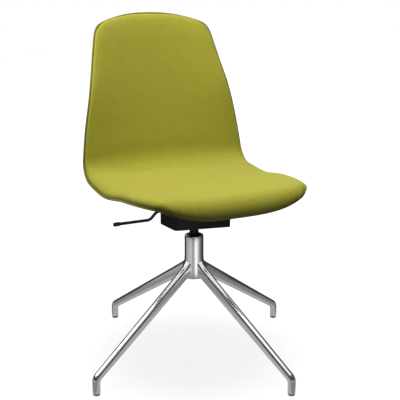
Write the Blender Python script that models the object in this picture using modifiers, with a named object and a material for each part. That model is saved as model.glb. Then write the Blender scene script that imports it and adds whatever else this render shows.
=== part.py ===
"""Conference chair: an upholstered one-piece shell on a swivelling gas lift and a four-leg base.

Metres, +Z up. The origin is on the swivel axis at floor level. The sitter faces -Y, with their
left side at +X. The base is turned under the seat, as the chair was photographed.
"""

import math

import bmesh
import bpy
from mathutils import Vector

# Clearances
FIT_GAP = 0.0003  # between metal or plastic pieces that seat on each other
SOFT_GAP = 0.0005  # between the layers of the upholstery

# Base: a turned hub with four cast legs on plastic glides
LEG_COUNT = 4
FIRST_LEG_ANGLE = math.radians(19)
FOOT_CIRCLE_RADIUS = 0.320
LEG_WIDTH = 0.0185
LEG_EDGE_RADIUS = 0.0055
LEG_BELOW_RIM = 0.0542
LEG_DEPTH_AT_HUB = 0.038
FOOT_DEPTH = 0.0175
FOOT_HEIGHT = 0.046
KNEE_RADIUS = 0.013
KNEE_INNER_RADIUS = 0.020
INNER_KNEE_DROP = 0.012
GLIDE_HEIGHT = 0.0045
GLIDE_RADIUS = 0.0084
GLIDE_STEM_RADIUS = 0.0045
GLIDE_STEM_LENGTH = 0.014
GLIDE_EDGE = 0.0010

HUB_LENGTH = 0.1108
HUB_TOP_RADIUS = 0.0238
HUB_BOTTOM_RADIUS = 0.0270
HUB_RIM_ROUND = 0.0035
HUB_BORE_RADIUS = 0.0187

# Column: stand tube, guide sleeve, thrust bearing and gas spring
TUBE_WALL = 0.0020
TUBE_FLOOR = 0.0030
SLEEVE_OVERLAP = 0.028  # how far the cylinder's foot stays in the sleeve at full lift
SLEEVE_LIP = 0.0020
SLEEVE_CONE = 0.0015
RACE_THICKNESS = 0.0015
CAGE_THICKNESS = 0.0036
RACE_OUTER_RADIUS = 0.0148
RACE_INNER_RADIUS = 0.0062
ROD_RADIUS = 0.0050
ROD_COLLAR_RADIUS = 0.0088
ROD_COLLAR_HEIGHT = 0.0020
ROD_NECK_RADIUS = 0.0034
ROD_TAIL = 0.0060
CLIP_THICKNESS = 0.0014
CLIP_RADIUS = 0.0098
BUMPER_HEIGHT = 0.0080
BUMPER_RADIUS = 0.0100
PISTON_HEIGHT = 0.0100
LIFT_STROKE = 0.060
CYLINDER_RADIUS = 0.0115
CYLINDER_WALL = 0.0020
CYLINDER_IN_VIEW = 0.0241
CYLINDER_TOP_RADIUS = 0.0106
CYLINDER_TOP_WALL = 0.0050
SEAL_HEIGHT = 0.0110
VALVE_RADIUS = 0.0022
VALVE_TIP_RADIUS = 0.0015
VALVE_LENGTH = 0.0150

# Seat mechanism: cast housing with a taper socket and a bent release lever
HOUSING_WIDTH = 0.152
HOUSING_FRONT_REACH = 0.054
HOUSING_BACK = 0.040
HOUSING_DEPTH = 0.0505
HOUSING_WALL = 0.0030
HOUSING_REAR_DROP = 0.0060  # of the underside, below its front corner on the sitter's right
HOUSING_LEFT_DROP = 0.0095
HOUSING_CORNER = 0.0080
EAR_REACH = 0.030
EAR_DEPTH = 0.028
EAR_CORNER = 0.0050
SOCKET_RADIUS = 0.0185
SOCKET_FLANGE_RADIUS = 0.0250
SOCKET_FLANGE_THICKNESS = 0.0030
SOCKET_BELOW_HOUSING = 0.0085  # under the tray's floor
SOCKET_HEIGHT = 0.0370
LEVER_RADIUS = 0.0038
LEVER_BELOW_TOP = 0.0125
LEVER_DROP = 0.0185
LEVER_OUTER_BEND_REACH = 0.1185
LEVER_TIP_REACH = 0.2120
LEVER_BEND_RADIUS = 0.0160
LEVER_PIVOT_REACH = 0.0340
LEVER_PAST_VALVE = 0.0035
LEVER_SWING = math.radians(6)
LEVER_BOSS_RADIUS = 0.0056
LEVER_BOSS_LENGTH = 0.0120
LEVER_CAP_RADIUS = 0.0050
LEVER_CAP_LENGTH = 0.0160
LEVER_CAP_END = 0.0020
PIVOT_PIN_RADIUS = 0.0022
BRACKET_WALL = 0.0020
BRACKET_LENGTH = 0.0130
BRACKET_ABOVE_PIN = 0.0055
BOLT_RADIUS = 0.0030
BOLT_HEAD_RADIUS = 0.0052
BOLT_HEAD_HEIGHT = 0.0040
INSERT_RADIUS = 0.0046
INSERT_FLANGE_RADIUS = 0.0090
INSERT_FLANGE_THICKNESS = 0.0015
INSERT_LENGTH = 0.0065
PAD_MARGIN = 0.0030
PAD_THICKNESS = 0.0065

# Shell: side view of the seat and back along the middle, measured on the upholstered face
SEAT_HEIGHT = 0.460  # on the swivel axis
SEAT_SLOPE = math.radians(3.9)
LIP_REACH = 0.2545  # in front of the swivel axis
LIP_RADIUS = 0.052
LIP_TURN = math.radians(85)
BEND_RADIUS = 0.062
BACK_LEAN = math.radians(13.2)
BACK_TOP_Y = 0.261
BACK_TOP_HEIGHT = 0.8465

# Half widths from the lip to the top edge
LIP_HALF_WIDTH = 0.229
SEAT_FRONT_HALF_WIDTH = 0.2215
SEAT_MIDDLE_HALF_WIDTH = 0.2255
BEND_HALF_WIDTH = 0.2225
LOWER_BACK_HALF_WIDTH = 0.2085
MIDDLE_BACK_HALF_WIDTH = 0.188
UPPER_BACK_HALF_WIDTH = 0.1655
TOP_HALF_WIDTH = 0.1445
# Rise of the sides above the middle at the same places
LIP_SIDE_RISE = 0.0105
SEAT_FRONT_SIDE_RISE = 0.0085
SEAT_MIDDLE_SIDE_RISE = 0.000
BEND_SIDE_RISE = 0.021
LOWER_BACK_SIDE_RISE = 0.0315
MIDDLE_BACK_SIDE_RISE = 0.041
UPPER_BACK_SIDE_RISE = 0.0315
TOP_SIDE_RISE = 0.021
# The places themselves, as shares of the way from lip to top edge
SECTION_SHARES = (0.00, 0.23, 0.36, 0.52, 0.64, 0.76, 0.88, 1.00)
SIDE_RISE_POWER = 2.2
# How far the corner points draw in sideways and lengthways, and how late each of them starts
FRONT_CORNER_SHARES = (0.215, 5.3, 0.135, 2.7)
TOP_CORNER_SHARES = (0.12, 48.0, 0.060, 2.4)

# Upholstery, from the sitter's side to the back
COVER_THICKNESS = 0.0012
FOAM_THICKNESS = 0.0320
FOAM_EDGE_THINNING = 0.0265
FOAM_THINNING_WIDTH = 0.160
SHELL_THICKNESS = 0.0090
REAR_FOAM_THICKNESS = 0.0040
REAR_FOAM_EDGE = 0.0005
RIM_WIDTH = 0.018
RIM_DROP = 0.0050
REAR_RIM_WIDTH = 0.0070
REAR_RIM_DRAW = 0.0040
WELT_RADIUS = 0.0034
WELT_OUTSET = 0.0018
CORNER_BLUNT_SHARE = 0.8  # of one rim strip, for the inset layers
UNDERSIDE_REACH = 0.056  # of the cutter that shapes the mounting pad
COLUMNS, ROWS = 10, 20  # plain part of the grid; narrow rim strips come on each side
RIM_SHARES = (0.945, 1.0)
RIM_SHARES_LENGTHWAYS = (0.91, 0.945, 0.975, 1.0)
PLAIN_SHARE, PLAIN_SHARE_LENGTHWAYS = 0.88, 0.875
TURN_STEPS = 24
SMALL_TURN_STEPS = 16
HOLE_STEPS = 12


for old in list(bpy.data.objects):
    bpy.data.objects.remove(old, do_unlink=True)
for old in list(bpy.data.collections):
    bpy.data.collections.remove(old)

chair = bpy.data.collections.new("conference_chair")
cutters = bpy.data.collections.new("cutters")
bpy.context.scene.collection.children.link(chair)
bpy.context.scene.collection.children.link(cutters)
cutters.hide_render = True


# Finishes: colour, roughness, metallic
ALUMINIUM = ((0.80, 0.80, 0.82), 0.10, 1.0)
STEEL = ((0.55, 0.55, 0.56), 0.30, 1.0)
BLACK_STEEL = ((0.012, 0.012, 0.013), 0.45, 0.0)
BLACK_PLASTIC = ((0.015, 0.015, 0.016), 0.50, 0.0)
GREY_PLASTIC = ((0.20, 0.20, 0.21), 0.60, 0.0)
RUBBER = ((0.02, 0.02, 0.02), 0.85, 0.0)
FOAM = ((0.75, 0.72, 0.60), 0.95, 0.0)
PLYWOOD = ((0.55, 0.38, 0.22), 0.70, 0.0)
FABRIC = ((0.30, 0.29, 0.045), 0.90, 0.0)
WELT = ((0.16, 0.15, 0.022), 0.90, 0.0)


def frame(name, parent=None, at=(0, 0, 0), turn=0.0):
    """An empty that carries the pieces of one moving group."""
    empty = bpy.data.objects.new(name, None)
    empty.empty_display_size = 0.05
    chair.objects.link(empty)
    empty.parent = parent
    empty.location = at
    empty.rotation_euler.z = turn
    return empty


def add(name, data, finish=None, parent=None, at=(0, 0, 0), turn=(0, 0, 0)):
    """A piece of the chair, or a hidden cutter when it has no finish."""
    obj = bpy.data.objects.new(name, data)
    (chair if finish else cutters).objects.link(obj)
    obj.parent = parent
    obj.location = at
    obj.rotation_euler = turn
    if finish is None:
        obj.hide_render = True
        obj.display_type = "WIRE"
        return obj
    colour, roughness, metallic = finish
    material = bpy.data.materials.new(name)
    material.use_nodes = True
    shader = material.node_tree.nodes["Principled BSDF"]
    shader.inputs["Base Color"].default_value = (*colour, 1)
    shader.inputs["Roughness"].default_value = roughness
    shader.inputs["Metallic"].default_value = metallic
    material.diffuse_color = (*colour, 1)
    obj.active_material = material
    return obj


def solid_mesh(name, bm):
    bmesh.ops.recalc_face_normals(bm, faces=bm.faces)
    mesh = bpy.data.meshes.new(name)
    bm.to_mesh(mesh)
    bm.free()
    return mesh


def boolean(obj, other, operation="DIFFERENCE"):
    modifier = obj.modifiers.new(other.name, "BOOLEAN")
    modifier.operation = operation
    modifier.object = other
    return obj


def settled(obj):
    """The evaluated shape of a helper object as a welded mesh; the helper is removed."""
    bpy.context.view_layer.update()
    evaluated = obj.evaluated_get(bpy.context.evaluated_depsgraph_get())
    mesh = bpy.data.meshes.new_from_object(evaluated)
    bpy.data.objects.remove(obj)
    bm = bmesh.new()
    bm.from_mesh(mesh)
    bmesh.ops.remove_doubles(bm, verts=bm.verts, dist=1e-6)
    bm.to_mesh(mesh)
    bm.free()
    mesh.materials.clear()
    return mesh


def turned(name, profile, finish=None, parent=None, closed=True, steps=TURN_STEPS, **place):
    """A turned piece. The profile (radius, height) runs down the outside and, if closed, up the bore."""
    mesh = bpy.data.meshes.new(name)
    count = len(profile)
    edges = [(i, (i + 1) % count) for i in range(count if closed else count - 1)]
    mesh.from_pydata([(radius, 0, height) for radius, height in profile], edges, [])
    obj = add(name, mesh, finish, parent, **place)
    screw = obj.modifiers.new("turn", "SCREW")
    screw.steps = screw.render_steps = steps
    screw.use_merge_vertices = True
    screw.merge_threshold = 1e-5
    return obj


def block(name, low, high, finish=None, parent=None, **place):
    bm = bmesh.new()
    bmesh.ops.create_cube(bm, size=1)
    low, high = Vector(low), Vector(high)
    for vert in bm.verts:
        vert.co = [(c + 0.5) * (h - l) + l for c, l, h in zip(vert.co, low, high)]
    return add(name, solid_mesh(name, bm), finish, parent, **place)


def upright_corners(obj, radius, segments=3):
    """Rounds only the vertical edges of a block."""
    bm = bmesh.new()
    bm.from_mesh(obj.data)
    upright = [e for e in bm.edges if abs(e.verts[0].co.z - e.verts[1].co.z) > 1e-6]
    bmesh.ops.bevel(bm, geom=upright, offset=radius, segments=segments, profile=0.5, affect="EDGES")
    bm.to_mesh(obj.data)
    bm.free()
    return obj


def round_bar(name, radius, length, finish=None, parent=None, steps=TURN_STEPS, **place):
    """A plain cylinder along its own Z, centred on its origin."""
    bm = bmesh.new()
    bmesh.ops.create_cone(
        bm, cap_ends=True, segments=steps, radius1=radius, radius2=radius, depth=length
    )
    return add(name, solid_mesh(name, bm), finish, parent, **place)


def rounded_path(corners, steps=4):
    """A path through (point, radius) corners, each turned on an arc; a radius of 0 stays sharp."""
    path = []
    for i, (point, radius) in enumerate(corners):
        point = Vector(point)
        if not radius:
            path.append(point)
            continue
        to_last = (Vector(corners[i - 1][0]) - point).normalized()
        to_next = (Vector(corners[(i + 1) % len(corners)][0]) - point).normalized()
        half = to_last.angle(to_next) / 2
        middle = point + (to_last + to_next).normalized() * (radius / math.sin(half))
        start = point + to_last * (radius / math.tan(half)) - middle
        end = point + to_next * (radius / math.tan(half)) - middle
        sweep = math.pi - 2 * half
        for k in range(steps + 1):
            t = k / steps
            arm = (start * math.sin((1 - t) * sweep) + end * math.sin(t * sweep)) / math.sin(sweep)
            path.append(middle + arm)
    return path


def polyline(name, points, cyclic=False, flat=False):
    curve = bpy.data.curves.new(name, "CURVE")
    curve.dimensions = "2D" if flat else "3D"
    spline = curve.splines.new("POLY")
    spline.points.add(len(points) - 1)
    for spot, point in zip(spline.points, points):
        spot.co = (*point, 1) if len(point) == 3 else (*point, 0, 1)
    spline.use_cyclic_u = cyclic
    return curve


base = frame("base_frame")
seat = frame("seat_frame", base)

# Heights of the stack under the seat, from the sitter's face down to the hub's rim
padding = COVER_THICKNESS + FOAM_THICKNESS + 2 * SOFT_GAP
rear_padding = SOFT_GAP + REAR_FOAM_THICKNESS + SOFT_GAP + COVER_THICKNESS
underside_height = SEAT_HEIGHT - (padding + SHELL_THICKNESS + rear_padding) / math.cos(SEAT_SLOPE)
housing_top = underside_height - PAD_THICKNESS - 2 * FIT_GAP
housing_bottom = housing_top - HOUSING_DEPTH
lever_height = housing_top - LEVER_BELOW_TOP
socket_bottom = housing_bottom - SOCKET_BELOW_HOUSING
hub_top = socket_bottom - CYLINDER_IN_VIEW
hub_bottom = hub_top - HUB_LENGTH
leg_top_at_hub = hub_top - LEG_BELOW_RIM
leg_underside_at_hub = leg_top_at_hub - LEG_DEPTH_AT_HUB

# Places in front of the axis and on the sitter's right
housing_front = -HOUSING_FRONT_REACH
lever_pivot_x = -LEVER_PIVOT_REACH
lever_bend_x = -LEVER_OUTER_BEND_REACH
lever_tip_x = -LEVER_TIP_REACH
lip_y = -LIP_REACH

# Hub of the base, with a rounded rim and a slightly wider foot
hub_outside = [
    (HUB_TOP_RADIUS - HUB_RIM_ROUND * (1 - math.sin(t)), hub_top - HUB_RIM_ROUND * (1 - math.cos(t)))
    for t in [k * math.pi / 8 for k in range(5)]
] + [
    (HUB_TOP_RADIUS, leg_top_at_hub),
    (HUB_BOTTOM_RADIUS, hub_bottom),
]
hub = turned(
    "hub_tube",
    hub_outside + [(HUB_BORE_RADIUS, hub_bottom), (HUB_BORE_RADIUS, hub_top)],
    ALUMINIUM,
    base,
)
hub_clearance = turned(
    "hub_clearance",
    [(0, hub_top + FIT_GAP)]
    + [(radius + FIT_GAP, height) for radius, height in hub_outside]
    + [(HUB_BOTTOM_RADIUS + FIT_GAP, hub_bottom - FOOT_HEIGHT), (0, hub_bottom - FOOT_HEIGHT)],
    closed=False,
)

# One leg: a tapered bar that slopes down from the hub and turns straight down at the foot.
# It is drawn in the plane of its radius, and trimmed to fit round the hub.
foot_out = FOOT_CIRCLE_RADIUS + FOOT_DEPTH / 2
foot_in = FOOT_CIRCLE_RADIUS - FOOT_DEPTH / 2
leg_outline = rounded_path(
    [
        ((0, leg_underside_at_hub), 0),
        ((foot_in, FOOT_HEIGHT - INNER_KNEE_DROP), KNEE_INNER_RADIUS),
        ((foot_in, GLIDE_HEIGHT), 0),
        ((foot_out, GLIDE_HEIGHT), 0),
        ((foot_out, FOOT_HEIGHT), KNEE_RADIUS),
        ((0, leg_top_at_hub), 0),
    ]
)
leg_curve = polyline("leg_outline", leg_outline, cyclic=True, flat=True)
leg_curve.fill_mode = "BOTH"
leg_curve.bevel_depth = LEG_EDGE_RADIUS
leg_curve.bevel_resolution = 1
leg_curve.offset = -LEG_EDGE_RADIUS
leg_curve.extrude = LEG_WIDTH / 2 - LEG_EDGE_RADIUS
leg_helper = add("leg_helper", settled(add("leg_curve", leg_curve)), turn=(math.pi / 2, 0, 0))
glide_socket = round_bar(
    "glide_socket",
    GLIDE_STEM_RADIUS + FIT_GAP,
    2 * (GLIDE_STEM_LENGTH + FIT_GAP),
    at=(FOOT_CIRCLE_RADIUS, 0, GLIDE_HEIGHT),
    steps=SMALL_TURN_STEPS,
)
for cutter in (hub_clearance, glide_socket):
    boolean(leg_helper, cutter)
upright = leg_helper.rotation_euler.to_matrix().to_4x4()
leg_mesh = settled(leg_helper)
leg_mesh.transform(upright)
leg_mesh.name = "leg"

glide_profile = [
    (0, GLIDE_HEIGHT + GLIDE_STEM_LENGTH),
    (GLIDE_STEM_RADIUS, GLIDE_HEIGHT + GLIDE_STEM_LENGTH),
    (GLIDE_STEM_RADIUS, GLIDE_HEIGHT - FIT_GAP),
    (GLIDE_RADIUS, GLIDE_HEIGHT - FIT_GAP),
    (GLIDE_RADIUS - GLIDE_EDGE, 0),
    (0, 0),
]
for i in range(LEG_COUNT):
    leg_frame = frame(f"leg_frame_{i + 1}", base, turn=FIRST_LEG_ANGLE + i * math.tau / LEG_COUNT)
    add(f"leg_{i + 1}", leg_mesh.copy(), ALUMINIUM, leg_frame)
    turned(
        f"glide_{i + 1}",
        glide_profile,
        GREY_PLASTIC,
        leg_frame,
        closed=False,
        steps=SMALL_TURN_STEPS,
        at=(FOOT_CIRCLE_RADIUS, 0, 0),
    )

# Stand tube pressed into the hub, closed below but for the piston rod
tube_out = HUB_BORE_RADIUS - FIT_GAP
tube_in = tube_out - TUBE_WALL
tube_bottom = hub_bottom + TUBE_WALL
tube_top = hub_top - SLEEVE_LIP
tube_hole = ROD_RADIUS + 2 * FIT_GAP
turned(
    "stand_tube",
    [
        (tube_out, tube_top),
        (tube_out, tube_bottom),
        (tube_hole, tube_bottom),
        (tube_hole, tube_bottom + TUBE_FLOOR),
        (tube_in, tube_bottom + TUBE_FLOOR),
        (tube_in, tube_top),
    ],
    BLACK_STEEL,
    base,
)

# Thrust bearing on the tube's floor: race, ball cage, race
level = tube_bottom + TUBE_FLOOR + FIT_GAP


def ring(name, low, thickness, outer, inner, finish, parent, steps=SMALL_TURN_STEPS):
    high = low + thickness
    profile = [(outer, high), (outer, low), (inner, low), (inner, high)]
    turned(name, profile, finish, parent, steps=steps)
    return high + FIT_GAP


level = ring("lower_race", level, RACE_THICKNESS, RACE_OUTER_RADIUS, RACE_INNER_RADIUS, STEEL, base)
level = ring(
    "bearing_cage", level, CAGE_THICKNESS, RACE_OUTER_RADIUS, RACE_INNER_RADIUS, GREY_PLASTIC, base
)
level = ring("upper_race", level, RACE_THICKNESS, RACE_OUTER_RADIUS, RACE_INNER_RADIUS, STEEL, seat)

# Piston rod: its collar bears on the upper race, its tail is clipped under the tube's floor,
# and its neck carries the piston inside the pressure cylinder
collar_top = level + ROD_COLLAR_HEIGHT
bumper_top = collar_top + FIT_GAP + BUMPER_HEIGHT
cylinder_bottom = bumper_top + FIT_GAP
seal_top = cylinder_bottom + CYLINDER_WALL + SEAL_HEIGHT
neck_bottom = seal_top + LIFT_STROKE + 2 * FIT_GAP
piston_low = neck_bottom + FIT_GAP
rod_top = piston_low + PISTON_HEIGHT
clip_top = tube_bottom - FIT_GAP
rod_bottom = clip_top - ROD_TAIL
groove = CLIP_THICKNESS + 2 * FIT_GAP
turned(
    "piston_rod",
    [
        (0, rod_top),
        (ROD_NECK_RADIUS, rod_top),
        (ROD_NECK_RADIUS, neck_bottom),
        (ROD_RADIUS, neck_bottom),
        (ROD_RADIUS, collar_top),
        (ROD_COLLAR_RADIUS, collar_top),
        (ROD_COLLAR_RADIUS, level),
        (ROD_RADIUS, level),
        (ROD_RADIUS, clip_top + FIT_GAP),
        (ROD_NECK_RADIUS, clip_top + FIT_GAP),
        (ROD_NECK_RADIUS, clip_top + FIT_GAP - groove),
        (ROD_RADIUS, clip_top + FIT_GAP - groove),
        (ROD_RADIUS, rod_bottom),
        (0, rod_bottom),
    ],
    STEEL,
    seat,
    closed=False,
    steps=SMALL_TURN_STEPS,
)
ring(
    "retaining_clip",
    clip_top - CLIP_THICKNESS,
    CLIP_THICKNESS,
    CLIP_RADIUS,
    ROD_NECK_RADIUS + FIT_GAP,
    STEEL,
    seat,
)
ring(
    "bump_stop",
    collar_top + FIT_GAP,
    BUMPER_HEIGHT,
    BUMPER_RADIUS,
    ROD_RADIUS + FIT_GAP,
    RUBBER,
    seat,
)
cylinder_in = CYLINDER_RADIUS - CYLINDER_WALL
ring(
    "piston",
    piston_low,
    PISTON_HEIGHT,
    cylinder_in - FIT_GAP,
    ROD_NECK_RADIUS + FIT_GAP,
    GREY_PLASTIC,
    seat,
)

# Guide sleeve for the cylinder, with a lip that covers the tube's end
sleeve_out = tube_in - FIT_GAP
sleeve_in = CYLINDER_RADIUS + FIT_GAP
sleeve_bottom = cylinder_bottom + LIFT_STROKE - SLEEVE_OVERLAP
turned(
    "guide_sleeve",
    [
        (tube_out, tube_top + FIT_GAP + SLEEVE_LIP),
        (tube_out, tube_top + FIT_GAP),
        (sleeve_out, tube_top + FIT_GAP),
        (sleeve_out, sleeve_bottom),
        (sleeve_in, sleeve_bottom),
        (sleeve_in, tube_top + FIT_GAP + SLEEVE_LIP + SLEEVE_CONE),
    ],
    BLACK_PLASTIC,
    base,
)

# Pressure cylinder: its top is tapered into the seat's socket, its foot is rolled in under the seal
lever_dip = (LEVER_PAST_VALVE - lever_pivot_x) * math.sin(LEVER_SWING)
cylinder_top = lever_height - LEVER_RADIUS - lever_dip - 3 * FIT_GAP
valve_hole = VALVE_RADIUS + FIT_GAP
turned(
    "pressure_cylinder",
    [
        (CYLINDER_TOP_RADIUS, cylinder_top),
        (CYLINDER_RADIUS, socket_bottom),
        (CYLINDER_RADIUS, cylinder_bottom),
        (ROD_RADIUS + 2 * FIT_GAP, cylinder_bottom),
        (ROD_RADIUS + 2 * FIT_GAP, cylinder_bottom + CYLINDER_WALL),
        (cylinder_in, cylinder_bottom + CYLINDER_WALL),
        (cylinder_in, socket_bottom),
        (CYLINDER_TOP_RADIUS - CYLINDER_WALL, cylinder_top - CYLINDER_TOP_WALL),
        (valve_hole, cylinder_top - CYLINDER_TOP_WALL),
        (valve_hole, cylinder_top),
    ],
    BLACK_STEEL,
    seat,
)
ring(
    "rod_seal",
    cylinder_bottom + CYLINDER_WALL + FIT_GAP,
    SEAL_HEIGHT - FIT_GAP,
    cylinder_in - FIT_GAP,
    ROD_RADIUS + FIT_GAP,
    RUBBER,
    seat,
)
valve_top = lever_height - LEVER_RADIUS - FIT_GAP
turned(
    "valve_pin",
    [
        (0, valve_top),
        (VALVE_TIP_RADIUS, valve_top),
        (VALVE_RADIUS, valve_top - VALVE_RADIUS + VALVE_TIP_RADIUS),
        (VALVE_RADIUS, valve_top - VALVE_LENGTH),
        (0, valve_top - VALVE_LENGTH),
    ],
    STEEL,
    seat,
    closed=False,
    steps=SMALL_TURN_STEPS,
)

# Taper socket that sits with its flange on the housing's floor
flange_low = housing_bottom + HOUSING_WALL + FIT_GAP
flange_high = flange_low + SOCKET_FLANGE_THICKNESS
socket_top = socket_bottom + SOCKET_HEIGHT
taper = (CYLINDER_RADIUS - CYLINDER_TOP_RADIUS) / (cylinder_top - socket_bottom)
turned(
    "taper_socket",
    [
        (SOCKET_RADIUS, socket_top),
        (SOCKET_RADIUS, flange_high),
        (SOCKET_FLANGE_RADIUS, flange_high),
        (SOCKET_FLANGE_RADIUS, flange_low),
        (SOCKET_RADIUS, flange_low),
        (SOCKET_RADIUS, socket_bottom),
        (CYLINDER_RADIUS + FIT_GAP, socket_bottom),
        (CYLINDER_RADIUS + FIT_GAP - taper * SOCKET_HEIGHT, socket_top),
    ],
    BLACK_STEEL,
    seat,
)

# Housing: an open-topped tray with a sloped underside, four bolted ears and a slot for the lever
half_width = HOUSING_WIDTH / 2
ear_spots = [
    (side * (half_width + EAR_REACH / 2), y)
    for side in (-1, 1)
    for y in (housing_front + EAR_DEPTH / 2, HOUSING_BACK - EAR_DEPTH / 2)
]
housing = upright_corners(
    block(
        "mechanism_housing",
        (-half_width, housing_front, housing_bottom),
        (half_width, HOUSING_BACK, housing_top),
        BLACK_STEEL,
        seat,
    ),
    HOUSING_CORNER,
)
for vert in housing.data.vertices:
    if vert.co.z < housing_top - HOUSING_WALL:
        rear_share = (vert.co.y - housing_front) / (HOUSING_BACK - housing_front)
        left_share = (vert.co.x + half_width) / HOUSING_WIDTH
        vert.co.z -= HOUSING_REAR_DROP * rear_share + HOUSING_LEFT_DROP * left_share
for i, (x, y) in enumerate(ear_spots):
    root, tip = x - math.copysign(EAR_REACH / 2 + HOUSING_CORNER, x), x + math.copysign(EAR_REACH / 2, x)
    ear = block(
        f"ear_{i + 1}",
        (min(root, tip), y - EAR_DEPTH / 2, housing_top - HOUSING_WALL),
        (max(root, tip), y + EAR_DEPTH / 2, housing_top),
    )
    upright_corners(ear, EAR_CORNER, 2)
    boolean(housing, ear, "UNION")
tray_hollow = upright_corners(
    block(
        "tray_hollow",
        (-half_width + HOUSING_WALL, housing_front + HOUSING_WALL, housing_bottom + HOUSING_WALL),
        (half_width - HOUSING_WALL, HOUSING_BACK - HOUSING_WALL, housing_top + HOUSING_WALL),
    ),
    HOUSING_CORNER - HOUSING_WALL,
)
boolean(housing, tray_hollow)
socket_hole = round_bar(
    "socket_hole", SOCKET_RADIUS + FIT_GAP, 4 * SOCKET_BELOW_HOUSING, at=(0, 0, housing_bottom)
)
boolean(housing, socket_hole)
slot_rise = (half_width + lever_pivot_x) * math.sin(LEVER_SWING)
slot_low = lever_height - LEVER_RADIUS - 2 * FIT_GAP
slot_high = lever_height + LEVER_RADIUS + slot_rise + 2 * FIT_GAP
lever_slot = block(
    "lever_slot",
    (-half_width - HOUSING_WALL, -2 * LEVER_RADIUS, slot_low),
    (-half_width + 2 * HOUSING_WALL, 2 * LEVER_RADIUS, slot_high),
)
boolean(housing, lever_slot)

# Lever: a bent rod that rocks on a cross pin and presses the valve with its inner end
lever = frame("lever_frame", seat, (lever_pivot_x, 0, lever_height))
lever_path = rounded_path(
    [
        ((LEVER_PAST_VALVE - lever_pivot_x, 0, 0), 0),
        ((lever_bend_x + LEVER_DROP - lever_pivot_x, 0, 0), LEVER_BEND_RADIUS),
        ((lever_bend_x - lever_pivot_x, 0, -LEVER_DROP), LEVER_BEND_RADIUS),
        ((lever_tip_x + LEVER_CAP_END + FIT_GAP - lever_pivot_x, 0, -LEVER_DROP), 0),
    ],
    3,
)
lever_curve = polyline("lever_path", lever_path)
lever_curve.bevel_depth = LEVER_RADIUS
lever_curve.bevel_resolution = 4
lever_curve.use_fill_caps = True
lever_rod = add("lever_rod", settled(add("lever_curve", lever_curve)), BLACK_STEEL, lever)
lever_boss = round_bar(
    "lever_boss", LEVER_BOSS_RADIUS, LEVER_BOSS_LENGTH, parent=lever, turn=(math.pi / 2, 0, 0)
)
pin_clearance = round_bar(
    "pin_clearance",
    PIVOT_PIN_RADIUS + FIT_GAP,
    3 * LEVER_BOSS_LENGTH,
    parent=lever,
    turn=(math.pi / 2, 0, 0),
    steps=SMALL_TURN_STEPS,
)
boolean(lever_rod, lever_boss, "UNION")
boolean(lever_rod, pin_clearance)
turned(
    "lever_cap",
    [
        (0, LEVER_CAP_END),
        (LEVER_CAP_RADIUS - LEVER_CAP_END / 2, LEVER_CAP_END),
        (LEVER_CAP_RADIUS, 0),
        (LEVER_CAP_RADIUS, LEVER_CAP_END - LEVER_CAP_LENGTH),
        (LEVER_RADIUS + FIT_GAP, LEVER_CAP_END - LEVER_CAP_LENGTH),
        (LEVER_RADIUS + FIT_GAP, 0),
        (0, 0),
    ],
    BLACK_PLASTIC,
    lever,
    closed=False,
    steps=SMALL_TURN_STEPS,
    at=(lever_tip_x + LEVER_CAP_END - lever_pivot_x, 0, -LEVER_DROP),
    turn=(0, -math.pi / 2, 0),
)

# Bracket and cross pin that hold the lever over the housing's floor
cheek_in = LEVER_BOSS_LENGTH / 2 + FIT_GAP
cheek_out = cheek_in + BRACKET_WALL
bracket_low = housing_bottom + HOUSING_WALL + FIT_GAP
bracket_x = (lever_pivot_x - BRACKET_LENGTH / 2, lever_pivot_x + BRACKET_LENGTH / 2)
bracket = block(
    "pivot_bracket",
    (bracket_x[0], -cheek_out, bracket_low),
    (bracket_x[1], cheek_out, lever_height + BRACKET_ABOVE_PIN),
    STEEL,
    seat,
)
bracket_hollow = block(
    "bracket_hollow",
    (bracket_x[0] - BRACKET_WALL, -cheek_in, bracket_low + BRACKET_WALL),
    (bracket_x[1] + BRACKET_WALL, cheek_in, lever_height + 2 * BRACKET_ABOVE_PIN),
)
boolean(bracket, bracket_hollow)
boolean(bracket, pin_clearance)
flange_clearance = round_bar(
    "flange_clearance",
    SOCKET_FLANGE_RADIUS + FIT_GAP,
    2 * (SOCKET_FLANGE_THICKNESS + FIT_GAP),
    at=(0, 0, flange_low),
)
boolean(bracket, flange_clearance)
round_bar(
    "pivot_pin",
    PIVOT_PIN_RADIUS,
    2 * cheek_out + 4 * FIT_GAP,
    STEEL,
    seat,
    steps=SMALL_TURN_STEPS,
    at=(lever_pivot_x, 0, lever_height),
    turn=(math.pi / 2, 0, 0),
)


# Side view of the shell: lip arc, seat line, bend and back line, read by length from the lip
seat_heading = -SEAT_SLOPE
back_heading = math.pi / 2 - BACK_LEAN
lip_heading = seat_heading + LIP_TURN


def along(heading):
    return Vector((math.cos(heading), math.sin(heading)))


def square_to(heading):
    return Vector((-math.sin(heading), math.cos(heading)))


lip_start = lip_y + LIP_RADIUS * (math.sin(lip_heading) - math.sin(seat_heading))
seat_front = Vector((lip_start, SEAT_HEIGHT + lip_start * math.tan(seat_heading)))
back_top = Vector((BACK_TOP_Y, BACK_TOP_HEIGHT))
lip_centre = seat_front - LIP_RADIUS * square_to(seat_heading)
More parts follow.
